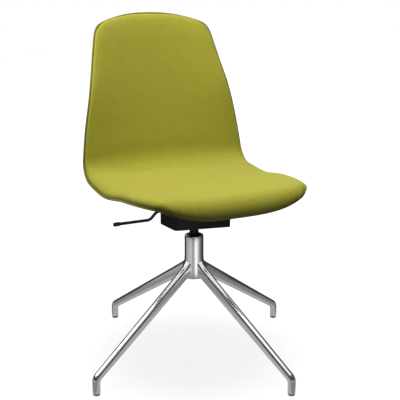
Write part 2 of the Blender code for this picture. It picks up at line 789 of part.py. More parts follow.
# The bend touches both lines, so its centre lies one radius inside each
seat_reach = seat_front.dot(square_to(seat_heading)) + BEND_RADIUS
back_reach = back_top.dot(square_to(back_heading)) + BEND_RADIUS
seat_side, back_side = square_to(seat_heading), square_to(back_heading)
spread = seat_side.x * back_side.y - seat_side.y * back_side.x
bend_centre = Vector(
    (
        (seat_reach * back_side.y - back_reach * seat_side.y) / spread,
        (seat_side.x * back_reach - back_side.x * seat_reach) / spread,
    )
)
seat_rear = bend_centre - BEND_RADIUS * seat_side
back_foot = bend_centre - BEND_RADIUS * back_side
lip_end_at = LIP_RADIUS * LIP_TURN
seat_end_at = lip_end_at + (seat_rear - seat_front).length
bend_end_at = seat_end_at + BEND_RADIUS * (back_heading - seat_heading)
shell_length = bend_end_at + (back_top - back_foot).length


def side_view(length):
    """Point (y, z) and heading of the middle line at this length from the lip."""
    if length < lip_end_at:
        heading = lip_heading - length / LIP_RADIUS
        return lip_centre + LIP_RADIUS * square_to(heading), heading
    if length < seat_end_at:
        return seat_front + (length - lip_end_at) * along(seat_heading), seat_heading
    if length < bend_end_at:
        heading = seat_heading + (length - seat_end_at) / BEND_RADIUS
        return bend_centre - BEND_RADIUS * square_to(heading), heading
    return back_foot + (length - bend_end_at) * along(back_heading), back_heading


sections = list(
    zip(
        SECTION_SHARES,
        (
            LIP_HALF_WIDTH,
            SEAT_FRONT_HALF_WIDTH,
            SEAT_MIDDLE_HALF_WIDTH,
            BEND_HALF_WIDTH,
            LOWER_BACK_HALF_WIDTH,
            MIDDLE_BACK_HALF_WIDTH,
            UPPER_BACK_HALF_WIDTH,
            TOP_HALF_WIDTH,
        ),
        (
            LIP_SIDE_RISE,
            SEAT_FRONT_SIDE_RISE,
            SEAT_MIDDLE_SIDE_RISE,
            BEND_SIDE_RISE,
            LOWER_BACK_SIDE_RISE,
            MIDDLE_BACK_SIDE_RISE,
            UPPER_BACK_SIDE_RISE,
            TOP_SIDE_RISE,
        ),
    )
)


def section(share):
    """Half width and side rise at this share of the length, on a smooth curve through sections."""
    share = min(max(share, 0.0), 1.0)
    last = len(sections) - 1
    i = max(k for k in range(last) if sections[k][0] <= share)
    before, start, end, after = (sections[min(max(k, 0), last)] for k in (i - 1, i, i + 1, i + 2))
    t = (share - start[0]) / (end[0] - start[0])
    values = []
    for k in (1, 2):
        step = end[0] - start[0]
        leave = (end[k] - before[k]) / (end[0] - before[0]) * step
        reach = (after[k] - start[k]) / (after[0] - start[0]) * step
        values.append(
            start[k] * (2 * t**3 - 3 * t**2 + 1)
            + leave * (t**3 - 2 * t**2 + t)
            + end[k] * (3 * t**2 - 2 * t**3)
            + reach * (t**3 - t**2)
        )
    return values


def outline_share(a, b):
    """Square grid coordinates, drawn in at the corners so that the outline runs round without a break."""
    across, across_start, length, length_start = FRONT_CORNER_SHARES if b < 0 else TOP_CORNER_SHARES
    return a * (1 - across * abs(b) ** across_start), b * (1 - length * abs(a) ** length_start)


def shell_point(across, lengthways, depth):
    """A point of the shell: shares -1 to 1 of its width and length, and depth below the sitter's face."""
    share = (1 + lengthways) / 2
    half, rise = section(share)
    middle, heading = side_view(share * shell_length)
    spot = middle + (rise * abs(across) ** SIDE_RISE_POWER - depth) * square_to(heading)
    return Vector((half * across, spot.x, spot.y))


def nearness(a, b, width):
    """0 inside, rising to 1 at the outline over this width."""
    half, _ = section((1 + b) / 2)
    sideways = max(0.0, 1 - (1 - abs(a)) * half / width)
    endways = max(0.0, 1 - (1 - abs(b)) * shell_length / 2 / width)
    return math.sqrt(min(1.0, sideways**2 + endways**2))


def face_depth(a, b):
    """Depth of the front cover's face: flat inside, rolled over at the rim."""
    return RIM_DROP * (1 - math.sqrt(max(0.0, 1 - nearness(a, b, RIM_WIDTH) ** 2)))


def shell_depth(a, b):
    """Depth of the inner shell's front face; the foam over it thins out towards the rim."""
    thinning = FOAM_EDGE_THINNING * nearness(a, b, FOAM_THINNING_WIDTH) ** 2
    return padding - thinning


def rear_face_depth(a, b):
    """Depth of the rear foam's back face."""
    thinning = (REAR_FOAM_THICKNESS - REAR_FOAM_EDGE) * nearness(a, b, FOAM_THINNING_WIDTH) ** 2
    return shell_depth(a, b) + SHELL_THICKNESS + SOFT_GAP + REAR_FOAM_THICKNESS - thinning


def rear_cover_depth(a, b):
    """Depth of the rear cover's inner face, drawn in to the seam at the rim."""
    return rear_face_depth(a, b) + SOFT_GAP - REAR_RIM_DRAW * nearness(a, b, REAR_RIM_WIDTH)


def grid_lines(count, plain, strips, dropped):
    inner = [plain * (2 * k / count - 1) for k in range(count + 1)]
    rim = list(strips[: len(strips) - dropped])
    return [-r for r in reversed(rim)] + inner + rim


def layer(name, front, back, finish=None, dropped=0, parent=None):
    """One layer of the shell between two depths, with the outermost rim strips dropped for an inset."""
    across = grid_lines(COLUMNS, PLAIN_SHARE, RIM_SHARES, dropped)
    lengthways = grid_lines(ROWS, PLAIN_SHARE_LENGTHWAYS, RIM_SHARES_LENGTHWAYS, dropped)
    bm = bmesh.new()
    bmesh.ops.create_grid(bm, x_segments=len(across) - 1, y_segments=len(lengthways) - 1, size=1)
    bmesh.ops.triangulate(bm, faces=bm.faces, quad_method="FIXED")
    front_verts = list(bm.verts)
    copied = bmesh.ops.extrude_face_region(bm, geom=bm.faces[:])["geom"]
    back_verts = [item for item in copied if isinstance(item, bmesh.types.BMVert)]
    for verts, depth in ((front_verts, front), (back_verts, back)):
        for vert in verts:
            i = round((vert.co.x + 1) / 2 * (len(across) - 1))
            j = round((vert.co.y + 1) / 2 * (len(lengthways) - 1))
            a, b = across[i], lengthways[j]
            if dropped and abs(a) == across[-1] and abs(b) == lengthways[-1]:
                # The corner of an inset layer is blunted, clear of the welt
                a = math.copysign(across[-1] + CORNER_BLUNT_SHARE * (across[-2] - across[-1]), a)
                b = math.copysign(lengthways[-1] + CORNER_BLUNT_SHARE * (lengthways[-2] - lengthways[-1]), b)
            vert.co = shell_point(*outline_share(a, b), depth(a, b))
    return add(name, solid_mesh(name, bm), finish, parent)


layer(
    "front_cover",
    face_depth,
    lambda a, b: face_depth(a, b) + COVER_THICKNESS,
    FABRIC,
    parent=seat,
)
layer(
    "seat_foam",
    lambda a, b: face_depth(a, b) + COVER_THICKNESS + SOFT_GAP,
    lambda a, b: shell_depth(a, b) - SOFT_GAP,
    FOAM,
    dropped=1,
    parent=seat,
)
inner_shell = layer(
    "inner_shell",
    shell_depth,
    lambda a, b: shell_depth(a, b) + SHELL_THICKNESS,
    PLYWOOD,
    dropped=1,
    parent=seat,
)
rear_foam = layer(
    "rear_foam",
    lambda a, b: shell_depth(a, b) + SHELL_THICKNESS + SOFT_GAP,
    rear_face_depth,
    FOAM,
    dropped=1,
    parent=seat,
)
rear_cover = layer(
    "rear_cover",
    rear_cover_depth,
    lambda a, b: rear_cover_depth(a, b) + COVER_THICKNESS,
    FABRIC,
    parent=seat,
)

# Welt sewn between the two covers, all round the outline
columns = grid_lines(COLUMNS, PLAIN_SHARE, RIM_SHARES, 0)
rows = grid_lines(ROWS, PLAIN_SHARE_LENGTHWAYS, RIM_SHARES_LENGTHWAYS, 0)
loop = (
    [(a, -1) for a in columns[:-1]]
    + [(1, b) for b in rows[:-1]]
    + [(a, 1) for a in reversed(columns[1:])]
    + [(-1, b) for b in reversed(rows[1:])]
)
welt_points = []
for a, b in loop:
    front_edge = face_depth(a, b) + COVER_THICKNESS
    middle = (front_edge + rear_cover_depth(a, b)) / 2
    across, lengthways = outline_share(a, b)
    across *= 1 + WELT_OUTSET / section((1 + lengthways) / 2)[0]
    lengthways *= 1 + 2 * WELT_OUTSET / shell_length
    welt_points.append(shell_point(across, lengthways, middle))
welt_curve = polyline("edge_welt", welt_points, cyclic=True)
welt_curve.bevel_depth = WELT_RADIUS
welt_curve.bevel_resolution = 1
add("edge_welt", settled(add("welt_curve", welt_curve)), WELT, seat)

# Mounting pad: a moulded plate between the housing's ears and the curved underside
pad = upright_corners(
    block(
        "mounting_pad",
        (-half_width - EAR_REACH - PAD_MARGIN, housing_front - PAD_MARGIN, housing_top + FIT_GAP),
        (half_width + EAR_REACH + PAD_MARGIN, HOUSING_BACK + PAD_MARGIN, SEAT_HEIGHT),
        BLACK_PLASTIC,
        seat,
    ),
    HOUSING_CORNER,
)
underside = layer(
    "underside",
    lambda a, b: face_depth(a, b) - UNDERSIDE_REACH,
    lambda a, b: rear_cover_depth(a, b) + COVER_THICKNESS + FIT_GAP,
)
boolean(pad, underside)

# Four bolts go up through ears and pad into flanged inserts in the inner shell
for i, (x, y) in enumerate(ear_spots):
    length = lip_end_at + (y - seat_front.x) / math.cos(seat_heading)
    share = 2 * length / shell_length - 1
    half, _ = section((1 + share) / 2)
    shell_face = shell_point(x / half, share, shell_depth(x / half, share)).z
    flange_top = shell_face - INSERT_FLANGE_THICKNESS
    insert_low = flange_top - INSERT_LENGTH
    bore = BOLT_RADIUS + FIT_GAP
    flange_under = flange_top - INSERT_FLANGE_THICKNESS
    turned(
        f"shell_insert_{i + 1}",
        [
            (INSERT_FLANGE_RADIUS, flange_top),
            (INSERT_FLANGE_RADIUS, flange_under),
            (INSERT_RADIUS, flange_under),
            (INSERT_RADIUS, insert_low),
            (bore, insert_low),
            (bore, flange_top),
        ],
        STEEL,
        seat,
        steps=HOLE_STEPS,
        at=(x, y, 0),
    )
    head_top = housing_top - HOUSING_WALL - FIT_GAP
    turned(
        f"plate_bolt_{i + 1}",
        [
            (0, flange_under),
            (BOLT_RADIUS, flange_under),
            (BOLT_RADIUS, head_top),
            (BOLT_HEAD_RADIUS, head_top),
            (BOLT_HEAD_RADIUS, head_top - BOLT_HEAD_HEIGHT),
            (0, head_top - BOLT_HEAD_HEIGHT),
        ],
        BLACK_STEEL,
        seat,
        closed=False,
        steps=SMALL_TURN_STEPS,
        at=(x, y, 0),
    )
    bolt_hole = round_bar(
        f"bolt_hole_{i + 1}",
        bore,
        2 * SEAT_HEIGHT - 2 * housing_bottom,
        at=(x, y, insert_low + FIT_GAP - SEAT_HEIGHT + housing_bottom),
        steps=SMALL_TURN_STEPS,
    )
    insert_recess = turned(
        f"insert_recess_{i + 1}",
        [
            (0, flange_top + 4 * INSERT_FLANGE_THICKNESS),
            (INSERT_FLANGE_RADIUS + FIT_GAP, flange_top + 4 * INSERT_FLANGE_THICKNESS),
            (INSERT_FLANGE_RADIUS + FIT_GAP, flange_under - FIT_GAP),
            (INSERT_RADIUS + FIT_GAP, flange_under - FIT_GAP),
            (INSERT_RADIUS + FIT_GAP, insert_low - FIT_GAP),
            (0, insert_low - FIT_GAP),
        ],
        closed=False,
        steps=HOLE_STEPS,
        at=(x, y, 0),
    )
    boolean(inner_shell, insert_recess)
    for drilled in (inner_shell, rear_foam, rear_cover, pad, housing):
        boolean(drilled, bolt_hole)

for obj in chair.objects:
    if obj.type == "MESH":
        obj.data.shade_smooth()
        obj.data.set_sharp_from_angle(angle=math.radians(40))
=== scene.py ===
"""Looks of a conference chair: polished base, gas lift, seat mechanism and upholstered shell.

Metres, +Z up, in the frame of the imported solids. The sitter faces -Y, with their left side at +X.
"""

import math

import bmesh
import bpy
import numpy as np
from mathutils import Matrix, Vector


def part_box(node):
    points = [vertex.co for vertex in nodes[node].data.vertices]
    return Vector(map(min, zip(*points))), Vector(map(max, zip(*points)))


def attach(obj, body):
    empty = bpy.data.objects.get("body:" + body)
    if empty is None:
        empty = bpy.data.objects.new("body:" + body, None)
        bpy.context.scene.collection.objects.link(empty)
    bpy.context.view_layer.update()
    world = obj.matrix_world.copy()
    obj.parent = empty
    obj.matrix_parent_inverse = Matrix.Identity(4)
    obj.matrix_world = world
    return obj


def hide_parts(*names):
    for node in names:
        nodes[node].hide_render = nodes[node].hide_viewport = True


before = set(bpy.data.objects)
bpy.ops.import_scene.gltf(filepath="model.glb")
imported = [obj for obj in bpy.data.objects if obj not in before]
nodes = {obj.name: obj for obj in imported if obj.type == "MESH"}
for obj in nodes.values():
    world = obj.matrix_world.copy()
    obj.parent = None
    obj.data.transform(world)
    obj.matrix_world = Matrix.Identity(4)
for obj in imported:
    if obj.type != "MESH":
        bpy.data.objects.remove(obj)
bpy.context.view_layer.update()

# Hub of the base: an aluminium casting, turned outside and polished with the legs.
# It widens slightly towards its foot, has a rounded rim, and is bored for the stand tube.
HUB_TOP_RADIUS = 0.0238
HUB_BOTTOM_RADIUS = 0.0270
HUB_RIM_ROUND = 0.0034
HUB_FOOT_ROUND = 0.0012
HUB_BORE_RADIUS = 0.0187
HUB_BORE_EDGE = 0.0006
HUB_STRAIGHT = 0.0542  # below the rim, where the taper starts
HUB_TAPER_ROUND = 0.12
POLISH_DARK = (0.74, 0.74, 0.75)
POLISH_LIGHT = (0.84, 0.84, 0.85)
TURN_STEPS = 96
SHARP_EDGE = math.radians(38)


class Shade:
    """One socket of a node tree. Arithmetic on it adds Math nodes, and node adds any other."""

    def __init__(self, socket):
        self.socket = socket
        self.tree = socket.id_data

    def node(self, kind, settings=None, sockets=None, output=0):
        """Adds a node of this type, sets it up, fills its sockets and gives one of its outputs."""
        made = self.tree.nodes.new(kind)
        for name, value in (settings or {}).items():
            setattr(made, name, value)
        given = Shade(made.outputs[output])
        given.feed(sockets or {})
        return given

    def feed(self, sockets):
        """Fills sockets of the node that this one belongs to, by name or number."""
        for name, value in sockets.items():
            socket = self.socket.node.inputs[name]
            if isinstance(value, Shade):
                self.tree.links.new(value.socket, socket)
            elif socket.type == "RGBA":
                socket.default_value = (*value, 1)
            else:
                socket.default_value = value

    def math(self, operation, first, second=0.0):
        return self.node("ShaderNodeMath", {"operation": operation}, {0: first, 1: second})

    def __add__(self, other):
        return self.math("ADD", self, other)

    def __sub__(self, other):
        return self.math("SUBTRACT", self, other)

    def __mul__(self, other):
        return self.math("MULTIPLY", self, other)

    def __pow__(self, other):
        return self.math("POWER", self, other)

    def __abs__(self):
        return self.math("ABSOLUTE", self)

    __radd__ = __add__
    __rmul__ = __mul__

    def between(self, low, high):
        """The colour this far from one to the other."""
        return self.node("ShaderNodeMix", {"data_type": "RGBA"}, {0: self, 6: low, 7: high}, output=2)

    def noise(self, place, scale, detail=2.0):
        return self.node("ShaderNodeTexNoise", {}, {"Vector": place, "Scale": scale, "Detail": detail})

    def stretched(self, place, scale):
        return self.node("ShaderNodeMapping", {}, {"Vector": place, "Scale": scale})

    def bump(self, height, strength, distance):
        return self.node(
            "ShaderNodeBump", {}, {"Strength": strength, "Distance": distance, "Height": height}
        )


def finish(name, constants):
    """A new finish with these values on its shader, and the shader's own socket to feed the rest to."""
    material = bpy.data.materials.new(name)
    material.use_nodes = True
    surface = Shade(material.node_tree.nodes["Principled BSDF"].outputs[0])
    surface.feed(constants)
    return material, surface


def place_on(surface):
    return surface.node("ShaderNodeTexCoord", output="Object")


def polished_finish():
    material, surface = finish("polished_aluminium", {"Metallic": 1.0})
    place = place_on(surface)
    haze = surface.noise(place, scale=14.0, detail=3.0)
    buffing = surface.noise(surface.stretched(place, scale=(1.0, 1.0, 0.06)), scale=1400.0)
    surface.feed(
        {
            "Base Color": haze.between(POLISH_DARK, POLISH_LIGHT),
            "Roughness": 0.08 + 0.06 * haze + 0.05 * buffing,
            "Normal": surface.bump(buffing, strength=0.04, distance=0.0001),
        }
    )
    return material


def eased(corners, steps=6):
    """A line through these corners, each rounded to its own radius."""
    line = []
    for i, (corner, radius) in enumerate(corners):
        corner = Vector(corner)
        if not radius:
            line.append(corner)
            continue
        back = (Vector(corners[i - 1][0]) - corner).normalized()
        onward = (Vector(corners[(i + 1) % len(corners)][0]) - corner).normalized()
        half = back.angle(onward) / 2
        centre = corner + (back + onward).normalized() * radius / math.sin(half)
        first = (corner + back * radius / math.tan(half) - centre).normalized()
        last = (corner + onward * radius / math.tan(half) - centre).normalized()
        line += [centre + radius * first.slerp(last, k / steps) for k in range(steps + 1)]
    return line


def new_piece(name, points, faces):
    mesh = bpy.data.meshes.new(name)
    mesh.from_pydata(np.reshape(points, (-1, 3)).tolist(), [], faces)
    piece = bpy.data.objects.new(name, mesh)
    bpy.context.scene.collection.objects.link(piece)
    return piece


def loft(name, rings, ends="capped"):
    """A closed skin over rings of points, with its ends capped, joined or closed by strips."""
    rings = np.asarray(rings, dtype=float)
    count, around = rings.shape[:2]
    faces = []
    for i in range(count if ends == "joined" else count - 1):
        low, high = i * around, (i + 1) % count * around
        for k in range(around):
            after = (k + 1) % around
            faces.append((low + k, low + after, high + after, high + k))
    if ends != "joined":
        last = (count - 1) * around
        if ends == "capped":
            faces += [tuple(range(around)), tuple(last + k for k in range(around))]
        else:
            for k in range(around // 2 - 1):
                strip = (k, k + 1, around - 2 - k, around - 1 - k)
                faces += [strip, tuple(last + corner for corner in strip)]
    piece = new_piece(name, rings, faces)
    skin = bmesh.new()
    skin.from_mesh(piece.data)
    bmesh.ops.recalc_face_normals(skin, faces=skin.faces)
    skin.to_mesh(piece.data)
    skin.free()
    piece.data.shade_smooth()
    piece.data.set_sharp_from_angle(angle=SHARP_EDGE)
    return piece


def round_angles(count):
    return np.linspace(0, math.tau, count, endpoint=False)


def turned(name, profile, axis=(0.0, 0.0), hollow=True, steps=TURN_STEPS):
    """A piece turned on an upright lathe from its (radius, height) profile."""
    angles = round_angles(steps)
    spokes = np.stack([np.cos(angles), np.sin(angles)], axis=1)
    rings = [
        np.column_stack([np.add(axis, radius * spokes), np.full(steps, height)])
        for radius, height in profile
    ]
    return loft(name, rings, "joined" if hollow else "capped")


def fit(piece, material, slot, body, *stands_for):
    """Gives a piece its finish, rides it on its body and hides what it stands for; its slot is not used.
    """
    piece.data.materials.append(material)
    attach(piece, body)
    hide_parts(*stands_for)


polished = polished_finish()
hub_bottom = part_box("hub_tube")[0][2]
hub_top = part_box("hub_tube")[1][2]
hub = turned(
    "polished_hub",
    eased(
        [
            ((HUB_BORE_RADIUS, hub_top), HUB_BORE_EDGE),
            ((HUB_TOP_RADIUS, hub_top), HUB_RIM_ROUND),
            ((HUB_TOP_RADIUS, hub_top - HUB_STRAIGHT), HUB_TAPER_ROUND),
            ((HUB_BOTTOM_RADIUS, hub_bottom), HUB_FOOT_ROUND),
            ((HUB_BORE_RADIUS, hub_bottom), HUB_BORE_EDGE),
        ]
    ),
)
fit(hub, polished, "polished_aluminium", "base", "hub_tube")

# Legs of the base: four tapered bars of polished aluminium, cast with the hub.
# Each slopes down from the hub, where a fillet runs into it, and turns straight down at the foot.
LEG_COUNT = 4
FIRST_LEG_ANGLE = math.radians(19)
FOOT_CIRCLE_RADIUS = 0.320
LEG_WIDTH = 0.0185
LEG_EDGE_RADIUS = 0.0084
LEG_BELOW_RIM = 0.0542
LEG_DEPTH_AT_HUB = 0.038
LEG_ROOT_RADIUS = 0.0196  # inside the hub's wall
LEG_FILLET_REACH = 0.016
LEG_FILLET_WIDTH = 0.0018
LEG_FILLET_RISE = 0.0045
FOOT_DEPTH = 0.0175
FOOT_HEIGHT = 0.046
KNEE_RADIUS = 0.024
KNEE_INNER_RADIUS = 0.012
INNER_KNEE_DROP = 0.012
GLIDE_HEIGHT = 0.0045
FOOT_EDGE = 0.0012
LEG_STATIONS = 28
LEG_CROWDING = 1.5  # power by which the stations lie closer together at the hub
LEG_EDGE_STEPS = 5
KNEE_STEPS = 10

leg_top = hub_top - LEG_BELOW_RIM
foot_out = FOOT_CIRCLE_RADIUS + FOOT_DEPTH / 2
foot_in = FOOT_CIRCLE_RADIUS - FOOT_DEPTH / 2


def leg_line(height_on_axis, foot, knee_height, knee_radius):
    """The leg's top or underside in its own plane, as (distance from the axis, height)."""
    slope = (knee_height - height_on_axis) / foot
    root = (LEG_ROOT_RADIUS, height_on_axis + slope * LEG_ROOT_RADIUS)
    corners = [(root, 0), ((foot, knee_height), knee_radius), ((foot, GLIDE_HEIGHT), 0)]
    line = eased(corners, KNEE_STEPS)
    shares = np.linspace(0, 1, LEG_STATIONS, endpoint=False) ** LEG_CROWDING
    return [line[0].lerp(line[1], share) for share in shares] + line[1:]


def leg_rings(turn):
    """Rounded sections of one leg, from its root in the hub to the foot."""
    out = Vector((math.cos(turn), math.sin(turn), 0))
    side = Vector((-math.sin(turn), math.cos(turn), 0))
    up = Vector((0, 0, 1))
    top_line = leg_line(leg_top, foot_out, FOOT_HEIGHT, KNEE_RADIUS)
    under_line = leg_line(
        leg_top - LEG_DEPTH_AT_HUB, foot_in, FOOT_HEIGHT - INNER_KNEE_DROP, KNEE_INNER_RADIUS
    )
    stations = list(zip(top_line, under_line))
    foot_top, foot_under = stations[-1]
    raised = Vector((0, FOOT_EDGE))
    stations[-1:] = [(foot_top + raised, foot_under + raised), (foot_top, foot_under)]
    rings = []
    for i, (top, under) in enumerate(stations):
        inset = FOOT_EDGE if i == len(stations) - 1 else 0.0
        near_hub = max(0.0, 1 - (top.x - HUB_TOP_RADIUS) / LEG_FILLET_REACH)
        swell = min(near_hub, 1.0) ** 2
        top = top + Vector((0, LEG_FILLET_RISE * swell))
        half_width = LEG_WIDTH / 2 + LEG_FILLET_WIDTH * swell - inset
        depth = (top - under).normalized()
        half_depth = (top - under).length / 2 - inset
        middle = (top + under) / 2
        edge = LEG_EDGE_RADIUS - inset
        ring = []
        for quarter in range(4):
            for k in range(LEG_EDGE_STEPS + 1):
                angle = (quarter + k / LEG_EDGE_STEPS) * math.pi / 2
                across_sign = 1 if quarter in (0, 3) else -1
                depth_sign = 1 if quarter < 2 else -1
                across = across_sign * (half_width - edge) + edge * math.cos(angle)
                deep = depth_sign * (half_depth - edge) + edge * math.sin(angle)
                spot = middle + deep * depth
                ring.append(spot.x * out + across * side + spot.y * up)
        rings.append(ring)
    return rings


leg_turns = [FIRST_LEG_ANGLE + i * math.tau / LEG_COUNT for i in range(LEG_COUNT)]
for i, turn in enumerate(leg_turns, 1):
    fit(loft(f"polished_leg_{i}", leg_rings(turn)), polished, "polished_aluminium", "base", f"leg_{i}")

# Glides: four grey nylon buttons, injection moulded.
# Each is pressed into a foot by its stem and carries the chair on the floor.
GLIDE_RADIUS = 0.0084
GLIDE_FLOOR_RADIUS = 0.0070
GLIDE_CHAMFER = 0.0012
GLIDE_ROUNDS = (0.0004, 0.0006, 0.0005)  # at the floor, over the chamfer and at the tops
GLIDE_GAP = 0.0003  # under the foot
GLIDE_STEM_RADIUS = 0.0045
GLIDE_STEM_LENGTH = 0.014
GLIDE_CENTRE = 0.0004  # radius of the small flats on the axis
GLIDE_STEPS = 48
NYLON_DARK = (0.15, 0.15, 0.155)
NYLON_LIGHT = (0.23, 0.23, 0.235)


def moulded_finish(name, dark, light, roughness, grain):
    """A moulded plastic or rubber with a fine grain and faint flow marks."""
    material, surface = finish(name, {})
    place = place_on(surface)
    flow = surface.noise(place, scale=60.0, detail=3.0)
    texture = surface.noise(place, grain, detail=1.0)
    surface.feed(
        {
            "Base Color": flow.between(dark, light),
            "Roughness": roughness - 0.06 + 0.12 * texture,
            "Normal": surface.bump(texture, strength=0.12, distance=0.0002),
        }
    )
    return material


nylon = moulded_finish("grey_nylon", NYLON_DARK, NYLON_LIGHT, roughness=0.5, grain=2200.0)
button_top = GLIDE_HEIGHT - GLIDE_GAP
stem_top = GLIDE_HEIGHT + GLIDE_STEM_LENGTH
glide_profile = eased(
    [
        ((GLIDE_CENTRE, 0.0), 0),
        ((GLIDE_FLOOR_RADIUS, 0.0), GLIDE_ROUNDS[0]),
        ((GLIDE_RADIUS, GLIDE_CHAMFER), GLIDE_ROUNDS[1]),
        ((GLIDE_RADIUS, button_top), GLIDE_ROUNDS[2]),
        ((GLIDE_STEM_RADIUS, button_top), 0),
        ((GLIDE_STEM_RADIUS, stem_top), GLIDE_ROUNDS[2]),
        ((GLIDE_CENTRE, stem_top), 0),
    ],
    steps=3,
)
for i, turn in enumerate(leg_turns, 1):
    foot = (FOOT_CIRCLE_RADIUS * math.cos(turn), FOOT_CIRCLE_RADIUS * math.sin(turn))
    glide = turned(f"foot_glide_{i}", glide_profile, foot, hollow=False, steps=GLIDE_STEPS)
    fit(glide, nylon, "grey_plastic", "base", f"glide_{i}")

# Stand tube and thrust bearing: a drawn steel tube pressed into the hub, closed below, with two
# hardened races and a nylon ball cage on its floor. They keep the shapes of their solids.
COAT_DARK = (0.0050, 0.0050, 0.0046)
COAT_LIGHT = (0.0085, 0.0085, 0.0080)
STEEL_DARK = (0.46, 0.46, 0.47)
STEEL_LIGHT = (0.62, 0.62, 0.63)
FACET_EDGE = math.radians(35)
FACET_JOIN = 0.00002


def coated_finish():
    """Satin black powder coat, with the slight orange peel that it dries to."""
    material, surface = finish("black_powder_coat", {"Specular IOR Level": 0.22})
    place = place_on(surface)
    peel = surface.noise(place, scale=700.0)
    rub = surface.noise(place, scale=35.0, detail=4.0)
    surface.feed(
        {
            "Base Color": rub.between(COAT_DARK, COAT_LIGHT),
            "Roughness": 0.34 + 0.16 * rub,
            "Normal": surface.bump(peel, strength=0.10, distance=0.0003),
        }
    )
    return material


def machined_finish():
    """Bright machined steel with turning marks."""
    material, surface = finish("machined_steel", {"Metallic": 1.0})
    place = place_on(surface)
    marks = surface.noise(surface.stretched(place, scale=(0.08, 0.08, 1.0)), scale=2600.0)
    surface.feed(
        {
            "Base Color": marks.between(STEEL_DARK, STEEL_LIGHT),
            "Roughness": 0.20 + 0.15 * marks,
            "Normal": surface.bump(marks, strength=0.06, distance=0.0001),
        }
    )
    return material


def facets_to_skin():
    """A modifier tree that joins a solid's loose facets and shades it smooth between its sharp edges."""
    tree = bpy.data.node_groups.new("facets_to_skin", "GeometryNodeTree")
    for direction in ("INPUT", "OUTPUT"):
        tree.interface.new_socket("Geometry", in_out=direction, socket_type="NodeSocketGeometry")
    solid = Shade(tree.nodes.new("NodeGroupInput").outputs[0])
    whole = solid.node("GeometryNodeMergeByDistance", {}, {"Geometry": solid, "Distance": FACET_JOIN})
    smooth = solid.node(
        "GeometryNodeSetShadeSmooth", {"domain": "FACE"}, {0: whole, "Shade Smooth": True}
    )
    fold = solid.node("GeometryNodeInputMeshEdgeAngle")
    flat_enough = solid.node("FunctionNodeCompare", {"operation": "LESS_THAN"}, {0: fold, 1: FACET_EDGE})
    creased = solid.node(
        "GeometryNodeSetShadeSmooth", {"domain": "EDGE"}, {0: smooth, "Shade Smooth": flat_enough}
    )
    end = tree.nodes.new("NodeGroupOutput")
    tree.links.new(creased.socket, end.inputs[0])
    return tree


skin_tree = facets_to_skin()


def dress(material, *names):
    """Gives solids that stay in view their finish, and joins their facets to a smooth skin."""
    for name in names:
        nodes[name].material_slots[0].material = material
        nodes[name].modifiers.new("skin", "NODES").node_group = skin_tree


coated = coated_finish()
machined = machined_finish()
dress(coated, "stand_tube")
dress(machined, "lower_race", "upper_race")
dress(nylon, "bearing_cage")

# Collar: a black acetal sleeve, turned and pressed into the tube's mouth, that guides the gas spring.
# Its low cone closes the hub flush with the rim.
COLLAR_REACH = 0.0184
COLLAR_BORE = 0.0117
COLLAR_LAND = 0.0020  # flat ring round the bore
COLLAR_LIP = 0.0020
COLLAR_SHANK = 0.0160
COLLAR_MOUTH_EDGE = 0.0005
COLLAR_LAND_EDGE = 0.0008
COLLAR_EDGE = 0.0006
ACETAL_DARK = (0.010, 0.010, 0.011)
ACETAL_LIGHT = (0.017, 0.017, 0.018)

acetal = moulded_finish("black_acetal", ACETAL_DARK, ACETAL_LIGHT, roughness=0.42, grain=1800.0)
collar_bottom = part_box("guide_sleeve")[0][2]
collar_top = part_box("guide_sleeve")[1][2]
collar = turned(
    "column_collar",
    eased(
        [
            ((COLLAR_BORE, collar_top), COLLAR_MOUTH_EDGE),
            ((COLLAR_BORE + COLLAR_LAND, collar_top), COLLAR_LAND_EDGE),
            ((COLLAR_REACH, hub_top), COLLAR_EDGE),
            ((COLLAR_REACH, hub_top - COLLAR_LIP), 0),
            ((COLLAR_SHANK, hub_top - COLLAR_LIP), 0),
            ((COLLAR_SHANK, collar_bottom), COLLAR_EDGE),
            ((COLLAR_BORE, collar_bottom), COLLAR_EDGE),
        ],
        steps=4,
    ),
)
fit(collar, acetal, "black_plastic", "base", "guide_sleeve")

# Gas spring: a drawn steel cylinder, painted black, on a chromed rod that stands in the tube.
# Its necked top is held in the seat's taper socket. The parts inside keep the shapes of their solids.
RUBBER_DARK = (0.014, 0.014, 0.014)
RUBBER_LIGHT = (0.024, 0.024, 0.024)

rubber = moulded_finish("black_rubber", RUBBER_DARK, RUBBER_LIGHT, roughness=0.8, grain=900.0)
dress(machined, "piston_rod", "retaining_clip", "valve_pin")
dress(rubber, "bump_stop", "rod_seal")
dress(nylon, "piston")
dress(coated, "pressure_cylinder")

# Seat mechanism: an open box cast in steel with four ears, holding a taper socket and coated
# black. A bracket and a pin on its floor carry the lever.
HOUSING_EDGE = 0.0012
HOUSING_EDGE_STEPS = 3
HOUSING_EDGE_ANGLE = math.radians(40)

dress(coated, "mechanism_housing", "taper_socket")
dress(machined, "pivot_bracket", "pivot_pin")
cast_edge = nodes["mechanism_housing"].modifiers.new("cast_edge", "BEVEL")
cast_edge.width = HOUSING_EDGE
cast_edge.segments = HOUSING_EDGE_STEPS
cast_edge.limit_method = "ANGLE"
cast_edge.angle_limit = HOUSING_EDGE_ANGLE

